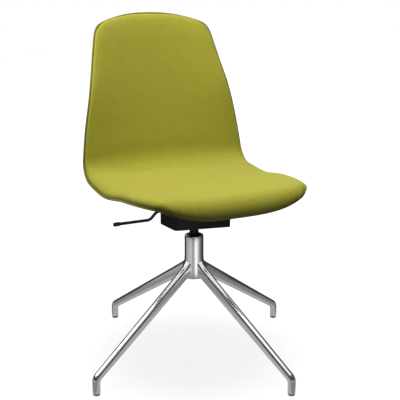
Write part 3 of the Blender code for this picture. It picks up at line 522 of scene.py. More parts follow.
# Release lever: a round steel rod, bent cold and coated black, with a boss for its pin.
# A moulded grip is pushed onto its outer end.
LEVER_RADIUS = 0.0038
LEVER_BELOW_TOP = 0.0125
LEVER_DROP = 0.0185
LEVER_BEND_X = -0.1185
LEVER_TIP_X = -0.212
LEVER_PIVOT_X = -0.034
LEVER_BEND_RADIUS = 0.016
LEVER_BOSS_RADIUS = 0.0056
LEVER_BOSS_LENGTH = 0.012
GRIP_RADIUS = 0.0050
GRIP_LENGTH = 0.016
GRIP_END = 0.0023  # of plastic past the rod's end
GRIP_FLAT = 0.0012  # radius of the flat on its end
GRIP_END_ROUND = 0.0022
GRIP_MOUTH_ROUND = 0.0007
LEVER_INNER_X = 0.0035
ROD_END_ROUND = 0.0008
ROD_STEPS = 24

lever_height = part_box("mechanism_housing")[1][2] - LEVER_BELOW_TOP
grip_height = lever_height - LEVER_DROP


def rod(name, line, radii):
    """A round bar along a line that lies in an upright plane facing the sitter."""
    angles = round_angles(ROD_STEPS)
    crosswise = Vector((0, 1, 0))
    rings = []
    for i, (spot, radius) in enumerate(zip(line, radii)):
        heading = (line[min(i + 1, len(line) - 1)] - line[max(i - 1, 0)]).normalized()
        upward = heading.cross(crosswise)
        spokes = [math.cos(angle) * crosswise + math.sin(angle) * upward for angle in angles]
        rings.append([spot + radius * spoke for spoke in spokes])
    return loft(name, rings)


def joined(piece, *others):
    """Takes other pieces' meshes into this one."""
    skin = bmesh.new()
    for part in (piece, *others):
        skin.from_mesh(part.data)
    skin.to_mesh(piece.data)
    skin.free()
    for part in others:
        bpy.data.objects.remove(part)
    return piece


rod_line = eased(
    [
        ((LEVER_INNER_X, 0, lever_height), 0),
        ((LEVER_INNER_X - ROD_END_ROUND, 0, lever_height), 0),
        ((LEVER_BEND_X + LEVER_DROP, 0, lever_height), LEVER_BEND_RADIUS),
        ((LEVER_BEND_X, 0, grip_height), LEVER_BEND_RADIUS),
        ((LEVER_TIP_X + GRIP_END, 0, grip_height), 0),
    ],
    steps=12,
)
rod_radii = [LEVER_RADIUS - ROD_END_ROUND] + [LEVER_RADIUS] * (len(rod_line) - 1)
boss_profile = [
    (-LEVER_BOSS_LENGTH / 2, LEVER_BOSS_RADIUS - ROD_END_ROUND),
    (-LEVER_BOSS_LENGTH / 2 + ROD_END_ROUND, LEVER_BOSS_RADIUS),
    (LEVER_BOSS_LENGTH / 2 - ROD_END_ROUND, LEVER_BOSS_RADIUS),
    (LEVER_BOSS_LENGTH / 2, LEVER_BOSS_RADIUS - ROD_END_ROUND),
]
lever_boss = loft(
    "lever_boss",
    [
        [
            (LEVER_PIVOT_X + radius * math.cos(angle), y, lever_height + radius * math.sin(angle))
            for angle in round_angles(ROD_STEPS)
        ]
        for y, radius in boss_profile
    ],
)
lever = joined(rod("release_lever", rod_line, rod_radii), lever_boss)
fit(lever, coated, "black_steel", "lever", "lever_rod")

grip_profile = eased(
    [
        ((LEVER_TIP_X, GRIP_FLAT), 0),
        ((LEVER_TIP_X, GRIP_RADIUS), GRIP_END_ROUND),
        ((LEVER_TIP_X + GRIP_LENGTH, GRIP_RADIUS), GRIP_MOUTH_ROUND),
        ((LEVER_TIP_X + GRIP_LENGTH, LEVER_RADIUS), 0),
    ]
)
grip = rod(
    "lever_grip",
    [Vector((x, 0, grip_height)) for x, _ in grip_profile],
    [radius for _, radius in grip_profile],
)
fit(grip, acetal, "black_plastic", "lever", "lever_cap")

# Mounting pad: a moulded black plate between the mechanism's ears and the curved underside.
# Four socket-head bolts go up through ears and pad into steel inserts in the plywood.
BOLT_COUNT = 4
BOLT_RADIUS = 0.0030
BOLT_HEAD_RADIUS = 0.0052
BOLT_HEAD_HEIGHT = 0.0040
BOLT_EDGE = 0.0005
KEY_REACH = 0.0022  # from the axis to a flat of the hexagon
KEY_DEPTH = 0.0022
BOLT_STEPS = 48

dress(acetal, "mounting_pad")


def hexagon(angle):
    """Distance to the side of a hexagon with a reach of 1, in this direction."""
    return 1 / math.cos(angle % (math.pi / 3) - math.pi / 6)


def bolt_ring(x, y, reach, height, keyed=False):
    """Points round a bolt's axis, on a circle or on the hexagon for the key."""
    ring = []
    for k in range(BOLT_STEPS):
        angle = k * math.tau / BOLT_STEPS
        far = reach * hexagon(angle) if keyed else reach
        ring.append((x + far * math.cos(angle), y + far * math.sin(angle), height))
    return ring


for i in range(1, BOLT_COUNT + 1):
    low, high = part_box(f"plate_bolt_{i}")
    x, y = (low[0] + high[0]) / 2, (low[1] + high[1]) / 2
    head_top = low[2] + BOLT_HEAD_HEIGHT
    steps = [
        (BOLT_RADIUS - BOLT_EDGE, high[2]),
        (BOLT_RADIUS, high[2] - BOLT_EDGE),
        (BOLT_RADIUS, head_top),
        (BOLT_HEAD_RADIUS, head_top),
        (BOLT_HEAD_RADIUS, low[2] + BOLT_EDGE),
        (BOLT_HEAD_RADIUS - BOLT_EDGE, low[2]),
        (KEY_REACH, low[2], True),
        (KEY_REACH, low[2] + KEY_DEPTH, True),
    ]
    rings = [bolt_ring(x, y, *step) for step in steps]
    fit(loft(f"socket_bolt_{i}", rings), coated, "black_steel", "carriage", f"plate_bolt_{i}")
    dress(machined, f"shell_insert_{i}")

# Inner shell: beech plywood, pressed to shape in a mould from thin veneers.
# Only its rim could ever be seen, between the two covers, so it keeps the shape of its solid.
VENEER_DARK = (0.42, 0.26, 0.13)
VENEER_LIGHT = (0.62, 0.44, 0.26)


def plywood_finish():
    material, surface = finish("beech_plywood", {})
    place = place_on(surface)
    grain = surface.noise(surface.stretched(place, scale=(1.0, 0.05, 0.05)), scale=260.0, detail=4.0)
    surface.feed(
        {
            "Base Color": grain.between(VENEER_DARK, VENEER_LIGHT),
            "Roughness": 0.45 + 0.2 * grain,
            "Normal": surface.bump(grain, strength=0.1, distance=0.0003),
        }
    )
    return material


dress(plywood_finish(), "inner_shell")

# Seat pad: lime woven wool over moulded foam, in one piece from the front lip to the top edge.
# The cover is pressed out by the foam that it is glued to and sewn fast at the rim. It has a soft
# crease in the bend and small gathers where it is pulled round the front corners.
SEAT_HEIGHT = 0.460  # on the swivel axis
SEAT_SLOPE = math.radians(3.9)
LIP_REACH = 0.2545  # in front of the swivel axis
LIP_RADIUS = 0.052
LIP_TURN = math.radians(85)
BEND_RADIUS = 0.062
BACK_LEAN = math.radians(13.2)
BACK_TOP = (0.261, 0.8465)
SECTION_SHARES = (0.00, 0.23, 0.36, 0.52, 0.64, 0.76, 0.88, 1.00)
HALF_WIDTHS = (0.2240, 0.2180, 0.2217, 0.2206, 0.2088, 0.1890, 0.1670, 0.1456)
SIDE_RISES = (0.0125, 0.0120, 0.0030, 0.0210, 0.0315, 0.0410, 0.0315, 0.0210)
SIDE_RISE_POWER = 2.2
# How far a corner is drawn in: a share and its power across, then lengthways
FRONT_CORNER = (0.240, 5.3, 0.120, 3.0)
TOP_CORNER = (0.12, 48.0, 0.060, 2.4)
COVER_THICKNESS = 0.0012
FOAM_THICKNESS = 0.0320
FOAM_EDGE_THINNING = 0.0265
FOAM_THINNING_WIDTH = 0.160
SOFT_GAP = 0.0005
# Rolled rim at the same sections: its width on the face and the depth of its outermost line
ROLL_WIDTHS = (0.046, 0.034, 0.033, 0.032, 0.032, 0.032, 0.032, 0.030)
ROLL_DEPTHS = (0.0225, 0.0222, 0.0175, 0.0125, 0.0105, 0.0100, 0.0100, 0.0095)
PILLOW_DEPTHS = (0.000, 0.000, 0.002, 0.005, 0.006, 0.006, 0.006, 0.004)  # of the fall towards the roll
PILLOW_WIDTH = 0.060
ROLL_OUTSET = 0.0045  # past the outline
ROLL_TURN = math.radians(102)
ROLL_TUCK = 0.0030  # how far its back edge lies inside the seam
PROBE = 0.01  # between two depths that give a direction
PAD_COLUMNS, PAD_ROWS = 77, 149
EDGE_CROWDING = 0.55  # how much closer the grid's lines lie at the rim
FOAM_HOLD = 0.25  # how firmly the foam keeps the cover in place, from 0 to 1
FOAM_PRESSURE = 4.0
SWELL_START = 0.0012  # the cover starts this much inside its place
SWELL_CAP = 0.0035
CLOTH_QUALITY, CLOTH_STEPS = 5, 20
SPARE_CLOTH = 0.016  # in the bend and at the lip, as a share of its size
BEND_SLACK = (0.03, 0.05)  # its middle past the seat's end, and its reach
LIP_SLACK = (0.03, 0.03)
REAR_FULLNESS = 0.020  # how much the seat's foam lifts the cover in front of the bend
FULLNESS_REACH = (0.17, 0.11)  # along the seat and up the back
BEND_DRAW = 0.0085  # how far the cover is drawn into the bend
BEND_DRAW_WIDTH = 0.030
CREASE_DEPTH = 0.0013
CREASE_WIDTH = 0.007
CREASE_IN_FRONT = 0.022  # of the bend's middle
CREASE_WAVES = ((0.005, 7, 0.6), (0.003, 17, 0.0))  # distance, rate and start of each
CREASE_FADE = (1.25, 1.3)  # towards the sides
GATHER_DEPTH = 0.0011
GATHER_WAVES = ((1.0, 0.0190, 0.0), (0.6, 0.0121, 1.0))  # share, pitch and start of each
GATHER_REACH = 0.14  # from the lip, as a share of half the length
GATHER_RISE = (2.2, 0.7)  # towards the sides
WOOL_DARK = (0.300, 0.285, 0.010)
WOOL_LIGHT = (0.520, 0.495, 0.042)
WOOL_PAINTED_SHADE = (0.085, 0.080, 0.004)  # painted shade mixed in towards the seam, where the rolled rim turns away from the light
# How far round the rim the painted shade starts and ends, and its largest share
PAINTED_SHADE_FROM, PAINTED_SHADE_TO, PAINTED_SHADE_SHARE = 0.40, 1.08, 0.70
PAINTED_SHADE_POWERS = (0.70, 2.40)  # the painted shade starts early at the lip and later away from it
PAINTED_SHADE_LIP_SHARE = 0.40  # of the length, over which it changes
YARN_PITCH = 0.0013
YARN_FLATNESS = 0.6

seat_heading = -SEAT_SLOPE
back_heading = math.pi / 2 - BACK_LEAN
lip_heading = seat_heading + LIP_TURN
padding = COVER_THICKNESS + FOAM_THICKNESS + 2 * SOFT_GAP


def along(heading):
    return np.stack([np.cos(heading), np.sin(heading)], axis=-1)


def square_to(heading):
    return np.stack([-np.sin(heading), np.cos(heading)], axis=-1)


# The side view touches both straight lines with the bend, whose centre lies one radius inside each
lip_start = -LIP_REACH + LIP_RADIUS * (math.sin(lip_heading) - math.sin(seat_heading))
seat_front = np.array((lip_start, SEAT_HEIGHT + lip_start * math.tan(seat_heading)))
lip_centre = seat_front - LIP_RADIUS * square_to(seat_heading)
bend_sides = np.array((square_to(seat_heading), square_to(back_heading)))
bend_reach = np.array((bend_sides[0] @ seat_front, bend_sides[1] @ BACK_TOP)) + BEND_RADIUS
bend_centre = np.linalg.solve(bend_sides, bend_reach)
seat_rear, back_foot = bend_centre - BEND_RADIUS * bend_sides
lip_end = LIP_RADIUS * LIP_TURN
seat_end = lip_end + np.linalg.norm(seat_rear - seat_front)
bend_end = seat_end + BEND_RADIUS * (back_heading - seat_heading)
shell_length = bend_end + np.linalg.norm(BACK_TOP - back_foot)


def side_view(length):
    """Points (y, z) and headings of the middle line at these lengths from the lip."""
    in_bend = np.clip(length - seat_end, 0, bend_end - seat_end)
    in_lip = lip_heading - length / LIP_RADIUS
    heading = np.where(length < lip_end, in_lip, seat_heading + in_bend / BEND_RADIUS)
    zone = np.digitize(length, (lip_end, seat_end, bend_end))[..., None]
    spots = np.choose(
        zone,
        (
            lip_centre + LIP_RADIUS * square_to(heading),
            seat_front + (length - lip_end)[..., None] * along(seat_heading),
            bend_centre - BEND_RADIUS * square_to(heading),
            back_foot + (length - bend_end)[..., None] * along(back_heading),
        ),
    )
    return spots, heading


def through_sections(values, share):
    """A value at these shares of the length, on a smooth curve through the sections."""
    places, values = np.array(SECTION_SHARES), np.array(values)
    last = len(places) - 1
    share = np.clip(share, 0, 1)
    i = np.clip(np.searchsorted(places, share, side="right") - 1, 0, last - 1)
    before, after = np.maximum(i - 1, 0), np.minimum(i + 2, last)
    step = places[i + 1] - places[i]
    t = (share - places[i]) / step
    leave = (values[i + 1] - values[before]) / (places[i + 1] - places[before]) * step
    reach = (values[after] - values[i]) / (places[after] - places[i]) * step
    return (
        values[i] * (2 * t**3 - 3 * t**2 + 1)
        + leave * (t**3 - 2 * t**2 + t)
        + values[i + 1] * (3 * t**2 - 2 * t**3)
        + reach * (t**3 - t**2)
    )


# From here on, a runs across and b from the lip to the top edge, each from -1 to 1
def outline_share(a, b):
    """Square grid coordinates, drawn in at the corners so that the outline has no break."""
    corner = np.where(b[..., None] < 0, FRONT_CORNER, TOP_CORNER)
    across, across_power, length, length_power = np.moveaxis(corner, -1, 0)
    return a * (1 - across * np.abs(b) ** across_power), b * (1 - length * np.abs(a) ** length_power)


def shell_points(across, lengthways, depth):
    """Points at shares -1 to 1 of the width and length, at a depth below the sitter's face."""
    share = (1 + lengthways) / 2
    spots, heading = side_view(share * shell_length)
    rise = through_sections(SIDE_RISES, share) * np.abs(across) ** SIDE_RISE_POWER
    spots = spots + (rise - depth)[..., None] * square_to(heading)
    half = through_sections(HALF_WIDTHS, share)
    return np.concatenate([(half * across)[..., None], spots], axis=-1)


def rim_shares(a, b, width):
    """Shares 0 to 1 of this width at which a point lies near the sides and near the ends."""
    half = through_sections(HALF_WIDTHS, (1 + b) / 2)
    sideways = np.maximum(0, 1 - (1 - np.abs(a)) * half / width)
    endways = np.maximum(0, 1 - (1 - np.abs(b)) * shell_length / 2 / width)
    return sideways, endways


def nearness(a, b, width):
    """0 inside, rising to 1 at the outline over this width."""
    sideways, endways = rim_shares(a, b, width)
    return np.sqrt(np.minimum(1, sideways**2 + endways**2))


def roll_sizes(b):
    """Width and depth of the rolled rim."""
    share = (1 + b) / 2
    return through_sections(ROLL_WIDTHS, share), through_sections(ROLL_DEPTHS, share)


def roll_end(b):
    """Depth at which the rolled rim meets the seam."""
    return roll_sizes(b)[1] * (1 - math.cos(ROLL_TURN)) + through_sections(PILLOW_DEPTHS, (1 + b) / 2)


def seam_reach(b):
    """How far past the outline the rolled rim meets the seam."""
    roll_width = roll_sizes(b)[0]
    return (roll_width + ROLL_OUTSET) * math.sin(ROLL_TURN) - roll_width


def pushed_out(a, b, distance):
    """Shares of width and length of points moved past the outline, square to the nearest edge."""
    sideways, endways = rim_shares(a, b, roll_sizes(b)[0])
    total = np.maximum(np.hypot(sideways, endways), 1e-9)
    across, lengthways = outline_share(a, b)
    half = through_sections(HALF_WIDTHS, (1 + lengthways) / 2)
    return (
        across + np.sign(a) * distance * sideways / total / half,
        lengthways + np.sign(b) * distance * endways / total * 2 / shell_length,
    )


def shell_depth(a, b):
    """Depth of the plywood's front face; the foam over it thins out towards the rim."""
    return padding - FOAM_EDGE_THINNING * nearness(a, b, FOAM_THINNING_WIDTH) ** 2


def crowded(count):
    """Grid lines from -1 to 1 that lie closer together at both ends."""
    even = np.linspace(-1, 1, count)
    return (1 - EDGE_CROWDING) * even + EDGE_CROWDING * np.sin(even * math.pi / 2)


def crease(a, b):
    """Depth to which the cover is drawn into the bend, with a soft fold in front of it."""
    from_bend = (1 + b) / 2 * shell_length - (seat_end + bend_end) / 2
    drawn = BEND_DRAW * np.exp(-((from_bend / BEND_DRAW_WIDTH) ** 2))
    wander = sum(distance * np.sin(rate * a + start) for distance, rate, start in CREASE_WAVES)
    fold = CREASE_DEPTH * np.exp(-(((from_bend + CREASE_IN_FRONT - wander) / CREASE_WIDTH) ** 2))
    return (drawn + fold) * np.clip(CREASE_FADE[0] - CREASE_FADE[1] * a**2, 0, 1)


def gathers(a, b, near):
    """Depth of the small gathers round the front corners."""
    place = through_sections(HALF_WIDTHS, (1 + b) / 2) * a * math.tau
    waves = sum(share * np.sin(place / pitch + start) for share, pitch, start in GATHER_WAVES)
    beside = np.clip(GATHER_RISE[0] * np.abs(a) - GATHER_RISE[1], 0, 1)
    corner = np.exp(-(((1 + b) / GATHER_REACH) ** 2)) * beside
    return GATHER_DEPTH * waves * corner * 4 * near * (1 - near)


def fullness(a, b):
    """Lift of the cover over the fuller foam at the rear of the seat, along the back."""
    length = (1 + b) / 2 * shell_length
    before = np.clip(1 - (seat_end - length) / FULLNESS_REACH[0], 0, 1)
    after = np.clip(1 - (length - bend_end) / FULLNESS_REACH[1], 0, 1)
    share = np.minimum(before, after)
    height = REAR_FULLNESS * share**2 * (3 - 2 * share) * (1 - a**2)
    return height[..., None] * np.append(0, along(back_heading))


def quads(rows, columns):
    """Faces of a grid of points."""
    low = (np.arange(rows - 1)[:, None] * columns + np.arange(columns - 1)).ravel()
    return np.stack([low, low + 1, low + columns + 1, low + columns], axis=1).tolist()


def settled_cover(spots, hold, slack):
    """Where the cover comes to rest, pressed out by the foam that holds it and fast at the rim."""
    rows, columns = hold.shape
    trial = new_piece("cover_trial", spots, quads(rows, columns))
    for name, weights in (("held", hold), ("slack", slack)):
        group = trial.vertex_groups.new(name=name)
        for i, weight in enumerate(weights.ravel()):
            group.add([i], float(weight), "REPLACE")
    cloth = trial.modifiers.new("cloth", "CLOTH")
    cloth.settings.quality = CLOTH_QUALITY
    cloth.settings.vertex_group_mass = "held"
    cloth.settings.use_pressure = True
    cloth.settings.uniform_pressure_force = FOAM_PRESSURE
    cloth.settings.vertex_group_shrink = "slack"
    cloth.settings.shrink_max = -SPARE_CLOTH
    cloth.settings.effector_weights.gravity = 0
    cloth.collision_settings.use_collision = False
    scene = bpy.context.scene
    for step in range(1, CLOTH_STEPS + 1):
        scene.frame_set(step)
    moved = trial.evaluated_get(bpy.context.evaluated_depsgraph_get()).to_mesh()
    result = np.empty(len(moved.vertices) * 3)
    moved.vertices.foreach_get("co", result)
    scene.frame_set(1)
    bpy.data.objects.remove(trial)
    return result.reshape(spots.shape)


def woven_finish():
    """Plain-weave wool in two close shades of lime, with loose fibres on it, and painted shade towards
    the seam.
    """
    material, surface = finish(
        "lime_wool", {"Sheen Weight": 0.22, "Sheen Roughness": 0.45, "Sheen Tint": (0.85, 0.85, 0.45)}
    )
    place = surface.node("ShaderNodeAttribute", {"attribute_name": "cloth"}, output="Vector")
    flat = surface.node("ShaderNodeSeparateXYZ", {}, {0: place})
    flat_y = Shade(flat.socket.node.outputs["Y"])
    weft = surface.math("SINE", flat * (math.pi / YARN_PITCH))
    warp = surface.math("SINE", flat_y * (math.pi / YARN_PITCH))
    cross = weft * warp
    knuckle = abs(cross) ** YARN_FLATNESS
    melange = surface.noise(place, scale=900.0)
    fibre = surface.noise(place, scale=4200.0)
    mottle = surface.noise(place, scale=38.0, detail=3.0)
    slub = surface.noise(place, scale=170.0)
    tone = 0.35 * melange + 0.20 * fibre + 0.30 * mottle + 0.45 * slub
    tone = tone + 0.22 * knuckle + 0.04 * cross - 0.22
    # Painted shade: the wool is darkened by the stored share towards the seam
    painted_shade = surface.node("ShaderNodeAttribute", {"attribute_name": "painted_shade"}, output="Fac")
    painted_rim_shade = surface.node(
        "ShaderNodeMapRange",
        {"interpolation_type": "SMOOTHSTEP"},
        {"Value": painted_shade, "From Min": PAINTED_SHADE_FROM, "From Max": PAINTED_SHADE_TO, "To Max": PAINTED_SHADE_SHARE},
    )
    surface.feed(
        {
            "Base Color": painted_rim_shade.between(tone.between(WOOL_DARK, WOOL_LIGHT), WOOL_PAINTED_SHADE),
            "Roughness": 0.78 + 0.16 * fibre,
            "Normal": surface.bump(knuckle + 0.5 * fibre, strength=0.35, distance=0.0005),
        }
    )
    return material


def wrap(piece, flat, painted_shade):
    """Stores the cloth's flat coordinates for its weave, and the share of painted shade that darkens it,
    from 0 to 1.
    """
    cloth = piece.data.attributes.new("cloth", "FLOAT_VECTOR", "POINT")
    cloth.data.foreach_set("vector", flat.ravel())
    turn = piece.data.attributes.new("painted_shade", "FLOAT", "POINT")
    turn.data.foreach_set("value", painted_shade.ravel())


def flat_cloth(across, lengthways, depth):
    """Places of these points on the cloth laid flat."""
    share = (1 + lengthways) / 2
    return np.stack([through_sections(HALF_WIDTHS, share) * across, share * shell_length, depth], axis=-1)


def unit(vectors):
    return vectors / np.linalg.norm(vectors, axis=-1, keepdims=True)


def pad(name, front, back, flat, painted_shade):
    """A closed pad between two grids of points."""
    piece = loft(name, np.concatenate([front, back[:, ::-1]], axis=1), "strips")
    wrap(piece, *(np.concatenate([grid, grid[:, ::-1]], axis=1) for grid in (flat, painted_shade)))
    piece.modifiers.new("fine", "SUBSURF").levels = 1
    piece.modifiers["fine"].render_levels = 1
    return piece


wool = woven_finish()
a, b = np.meshgrid(crowded(PAD_COLUMNS), crowded(PAD_ROWS))
roll_width, roll_depth = roll_sizes(b)
near = nearness(a, b, roll_width)
roll_reach = (roll_width + ROLL_OUTSET) * np.sin(near * ROLL_TURN) - roll_width * near
across, lengthways = pushed_out(a, b, roll_reach)
face = roll_depth * (1 - np.cos(near * ROLL_TURN))
face += through_sections(PILLOW_DEPTHS, (1 + b) / 2) * nearness(a, b, PILLOW_WIDTH) ** 2
outward = unit(shell_points(across, lengthways, face - PROBE) - shell_points(across, lengthways, face))
inside = 1 - near**2
start = shell_points(across, lengthways, face + SWELL_START * inside) + fullness(a, b)
swell = np.zeros_like(a)
hold = FOAM_HOLD + (1 - FOAM_HOLD) * near
length = (1 + b) / 2 * shell_length
slack = np.exp(-(((length - seat_end - BEND_SLACK[0]) / BEND_SLACK[1]) ** 2))
slack += np.exp(-(((length - LIP_SLACK[0]) / LIP_SLACK[1]) ** 2))
shift = settled_cover(start, hold, np.clip(slack, 0, 1) * inside) - start
swell = SWELL_CAP * np.tanh(np.sum(shift * outward, axis=-1) / SWELL_CAP)
front = start + ((swell - crease(a, b)) * inside - gathers(a, b, near))[..., None] * outward
tucked = nearness(a, b, roll_width / 2) ** 2
back_depth = (shell_depth(a, b) - SOFT_GAP) * (1 - tucked) + roll_end(b) * tucked
back = shell_points(*pushed_out(a, b, (seam_reach(b) - ROLL_TUCK) * near), back_depth)
# Painted shade: the cover is darkened as it turns round the rolled rim, from early on at the lip
shade_power = np.interp((1 + b) / 2, (0, PAINTED_SHADE_LIP_SHARE), PAINTED_SHADE_POWERS)
seat_pad = pad("seat_pad", front, back, flat_cloth(across, lengthways, face), near**shade_power)
fit(seat_pad, wool, "upholstery", "carriage", "front_cover", "seat_foam")
seat_pad.visible_glossy = False

# Rear cover: the same wool over a thin layer of foam, glued to the back of the plywood.
# It is drawn in to the seam at the rim.
SHELL_THICKNESS = 0.0090
REAR_FOAM_THICKNESS = 0.0040
REAR_FOAM_EDGE = 0.0005
REAR_RIM_WIDTH = 0.0070
REAR_RIM_DRAW = 0.0040
REAR_INSET = 0.0016
REAR_BELOW_SEAM = 0.0030
CORNER_EASE = 0.70  # how far the ridge is rounded off where the shell's thinning stops at a corner
REAR_COLUMNS, REAR_ROWS = 49, 97


def rear_cover_depth(a, b):
    """Depth of the rear cover's inner face, drawn in to the seam at the rim."""
    thinning = (REAR_FOAM_THICKNESS - REAR_FOAM_EDGE) * nearness(a, b, FOAM_THINNING_WIDTH) ** 2
    foam_back = shell_depth(a, b) + SHELL_THICKNESS + SOFT_GAP + REAR_FOAM_THICKNESS - thinning
    return foam_back + SOFT_GAP - REAR_RIM_DRAW * nearness(a, b, REAR_RIM_WIDTH)


def corner_ease(a, b):
    """Depth of the padding that rounds off the ridge across each corner."""
    sideways, endways = rim_shares(a, b, FOAM_THINNING_WIDTH)
    from_ridge = np.abs(sideways**2 + endways**2 - 1) / CORNER_EASE
    ease = CORNER_EASE / 4 * np.maximum(0, 1 - from_ridge) ** 2
    return FOAM_EDGE_THINNING * ease * 2 * sideways * endways


a, b = np.meshgrid(crowded(REAR_COLUMNS), crowded(REAR_ROWS))
roll_width = roll_sizes(b)[0]
across, lengthways = pushed_out(a, b, (seam_reach(b) - REAR_INSET) * nearness(a, b, roll_width))
seam_depth = roll_end(b) + REAR_BELOW_SEAM
outer = rear_cover_depth(a, b) + COVER_THICKNESS + corner_ease(a, b)
outer = np.maximum(outer, outer + (seam_depth - outer) * nearness(a, b, 2 * roll_width) ** 2)
inner = np.minimum(shell_depth(a, b) + SHELL_THICKNESS + SOFT_GAP, outer - COVER_THICKNESS)
inner = np.maximum(inner, (seam_depth - COVER_THICKNESS) * nearness(a, b, roll_width / 2))
rear_pad = pad(
    "rear_pad",
    shell_points(across, lengthways, inner),
    shell_points(across, lengthways, outer),
    flat_cloth(across, lengthways, np.zeros_like(a)),
    # Painted shade that darkens the cover as it is drawn in to the seam at the rim
    nearness(a, b, REAR_RIM_WIDTH),
)
fit(rear_pad, wool, "upholstery", "carriage", "rear_cover", "rear_foam")
rear_pad.visible_glossy = False

# Welt: a flat cord wrapped in the same wool, sewn between the two covers all round the outline. Its outer
# edge shows past the rolled rim as a dark line, darkened by painted shade everywhere but the middle of
# the lip.
WELT_RADIUS = 0.0021
WELT_HALF_WIDTH = 0.0032
WELT_BELOW_ROLL = 0.0004
WELT_OUTSETS = (-0.0012, 0.0018)  # past the end of the rolled rim, at the lip and away from it
WELT_LIP_SHARE = 0.20  # of the length, over which it changes
WELT_SIDE_SPOTS, WELT_END_SPOTS = 150, 90
WELT_STEPS = 12
WELT_SHADE_FADE = (0.25, 0.60)  # shares of the lip's half width over which the cord's painted shade fades in from none at the middle

side = np.linspace(-1, 1, WELT_SIDE_SPOTS, endpoint=False)
end = np.linspace(-1, 1, WELT_END_SPOTS, endpoint=False)
a = np.concatenate([end, np.ones(WELT_SIDE_SPOTS), -end, -np.ones(WELT_SIDE_SPOTS)])
b = np.concatenate([-np.ones(WELT_END_SPOTS), side, np.ones(WELT_END_SPOTS), -side])
outset = np.interp((1 + b) / 2, (0, WELT_LIP_SHARE), WELT_OUTSETS)
across, lengthways = pushed_out(a, b, seam_reach(b) + outset)
middle = roll_end(b) + WELT_BELOW_ROLL
seam = shell_points(across, lengthways, middle)
heading = unit(np.roll(seam, -1, axis=0) - np.roll(seam, 1, axis=0))
through = shell_points(across, lengthways, middle - PROBE) - seam
through = unit(through - np.sum(through * heading, axis=-1, keepdims=True) * heading)
away = np.cross(heading, through)
around = round_angles(WELT_STEPS)
up = WELT_RADIUS * np.cos(around)[None, :, None] * through[:, None]
out = WELT_HALF_WIDTH * np.sin(around)[None, :, None] * away[:, None]
welt = loft("edge_piping", seam[:, None] + up + out, "joined")
run = np.cumsum(np.linalg.norm(seam - np.roll(seam, 1, axis=0), axis=-1))
flat = np.stack(
    np.broadcast_arrays(WELT_RADIUS * around[None, :], run[:, None], np.zeros((1, 1))), axis=-1
)
# Painted shade: full round the outline, fading out towards the middle of the lip
welt_painted_shade = np.where(b > -1, 1, np.clip((np.abs(a) - WELT_SHADE_FADE[0]) / np.ptp(WELT_SHADE_FADE), 0, 1))
wrap(welt, flat, np.repeat(welt_painted_shade, WELT_STEPS))
fit(welt, wool, "welt", "carriage", "edge_welt")
welt.visible_glossy = False

# Studio: a pale floor with a painted shadow round the chair, even white light from all round and three
# soft boxes, the widest overhead.
# Grey cards out of the camera's view are seen only in the polished metal.
FLOOR_SIZE = 16.0
FLOOR_COLOUR = (0.16, 0.16, 0.16)
FLOOR_GLOW_IN_PAINTED_SHADOW = 0.81  # white that the camera sees in the floor round the chair, lowered there as a painted shadow over the real one and rising to 1 further off
PAINTED_SHADOW_FROM, PAINTED_SHADOW_TO = 0.12, 0.46
AMBIENT = 0.74
CAMERA_SPOT = (-0.837, -1.717, 0.920)
CAMERA_TURNS = (math.radians(75), 0, math.radians(-26))
CAMERA_BEARING = 244.0  # in degrees, as the chair sees it
LENS, LENS_SHIFT, SENSOR_WIDTH = 72.2, 0.0145, 36.0
CARD_STEP = 2.0  # degrees between a card's corners
CARD_LIFT = 0.0006  # over the floor
# Greys of a wide ring of cards on the floor, each up to a bearing from the camera
RING = (0.62, 1.70)
RING_GREYS = (
    (-108.0, 0.03),
    (-84.0, 0.36),
    (-56.0, 0.48),
    (-26.0, 0.64),
    (2.0, 0.42),
    (12.0, 0.75),
    (40.0, 1.25),
    (56.0, 0.75),
    (72.0, 0.40),
    (100.0, 0.18),
    (180.0, 0.03),
)
# Other cards as two (distance, height) edges, two bearings from the camera and a grey
CARDS = [
    ((0.01, CARD_LIFT), (0.34, CARD_LIFT), -180.0, 180.0, 0.44),
    ((0.34, CARD_LIFT), (0.62, CARD_LIFT), -180.0, 180.0, 0.24),
    ((0.095, 0.392), (0.18, 0.392), -180.0, 180.0, 1.0),
    ((1.70, 0.0), (1.70, 2.05), -180.0, 180.0, 0.05),
]
# A dark flag keeps low light off the front
FLAG = ((0.60, 0.24), (0.60, 0.74), -125.0, 125.0, 0.0)

scene = bpy.context.scene
scene.view_settings.view_transform = "Standard"


def seen(surface):
    """1 where the camera, polished metal or glass sees this surface itself, and 0 for its light."""
    path = surface.node("ShaderNodeLightPath", output="Is Camera Ray")
    outputs = path.socket.node.outputs
    return path + Shade(outputs["Is Glossy Ray"]) + Shade(outputs["Is Transmission Ray"])


def stage_mesh(name, corners, faces, material):
    piece = new_piece(name, corners, faces)
    piece.data.materials.append(material)
    return piece


floor_finish, floor_surface = finish("pale_floor", {"Base Color": FLOOR_COLOUR, "Roughness": 0.9})
# Painted shadow: the glow that the camera sees is lowered round the chair
from_chair = floor_surface.node(
    "ShaderNodeVectorMath", {"operation": "LENGTH"}, {0: place_on(floor_surface)}, output="Value"
)
glow_with_painted_shadow = floor_surface.node(
    "ShaderNodeMapRange",
    {"interpolation_type": "SMOOTHSTEP"},
    {
        "Value": from_chair,
        "From Min": PAINTED_SHADOW_FROM,
        "From Max": PAINTED_SHADOW_TO,
        "To Min": FLOOR_GLOW_IN_PAINTED_SHADOW,
        "To Max": 1.0,
    },
)
floor_surface.feed({"Emission Color": seen(floor_surface) * glow_with_painted_shadow, "Emission Strength": 1.0})
reach = FLOOR_SIZE / 2
floor_corners = [(-reach, -reach, 0), (reach, -reach, 0), (reach, reach, 0), (-reach, reach, 0)]
stage_mesh("floor", floor_corners, [(0, 1, 2, 3)], floor_finish)


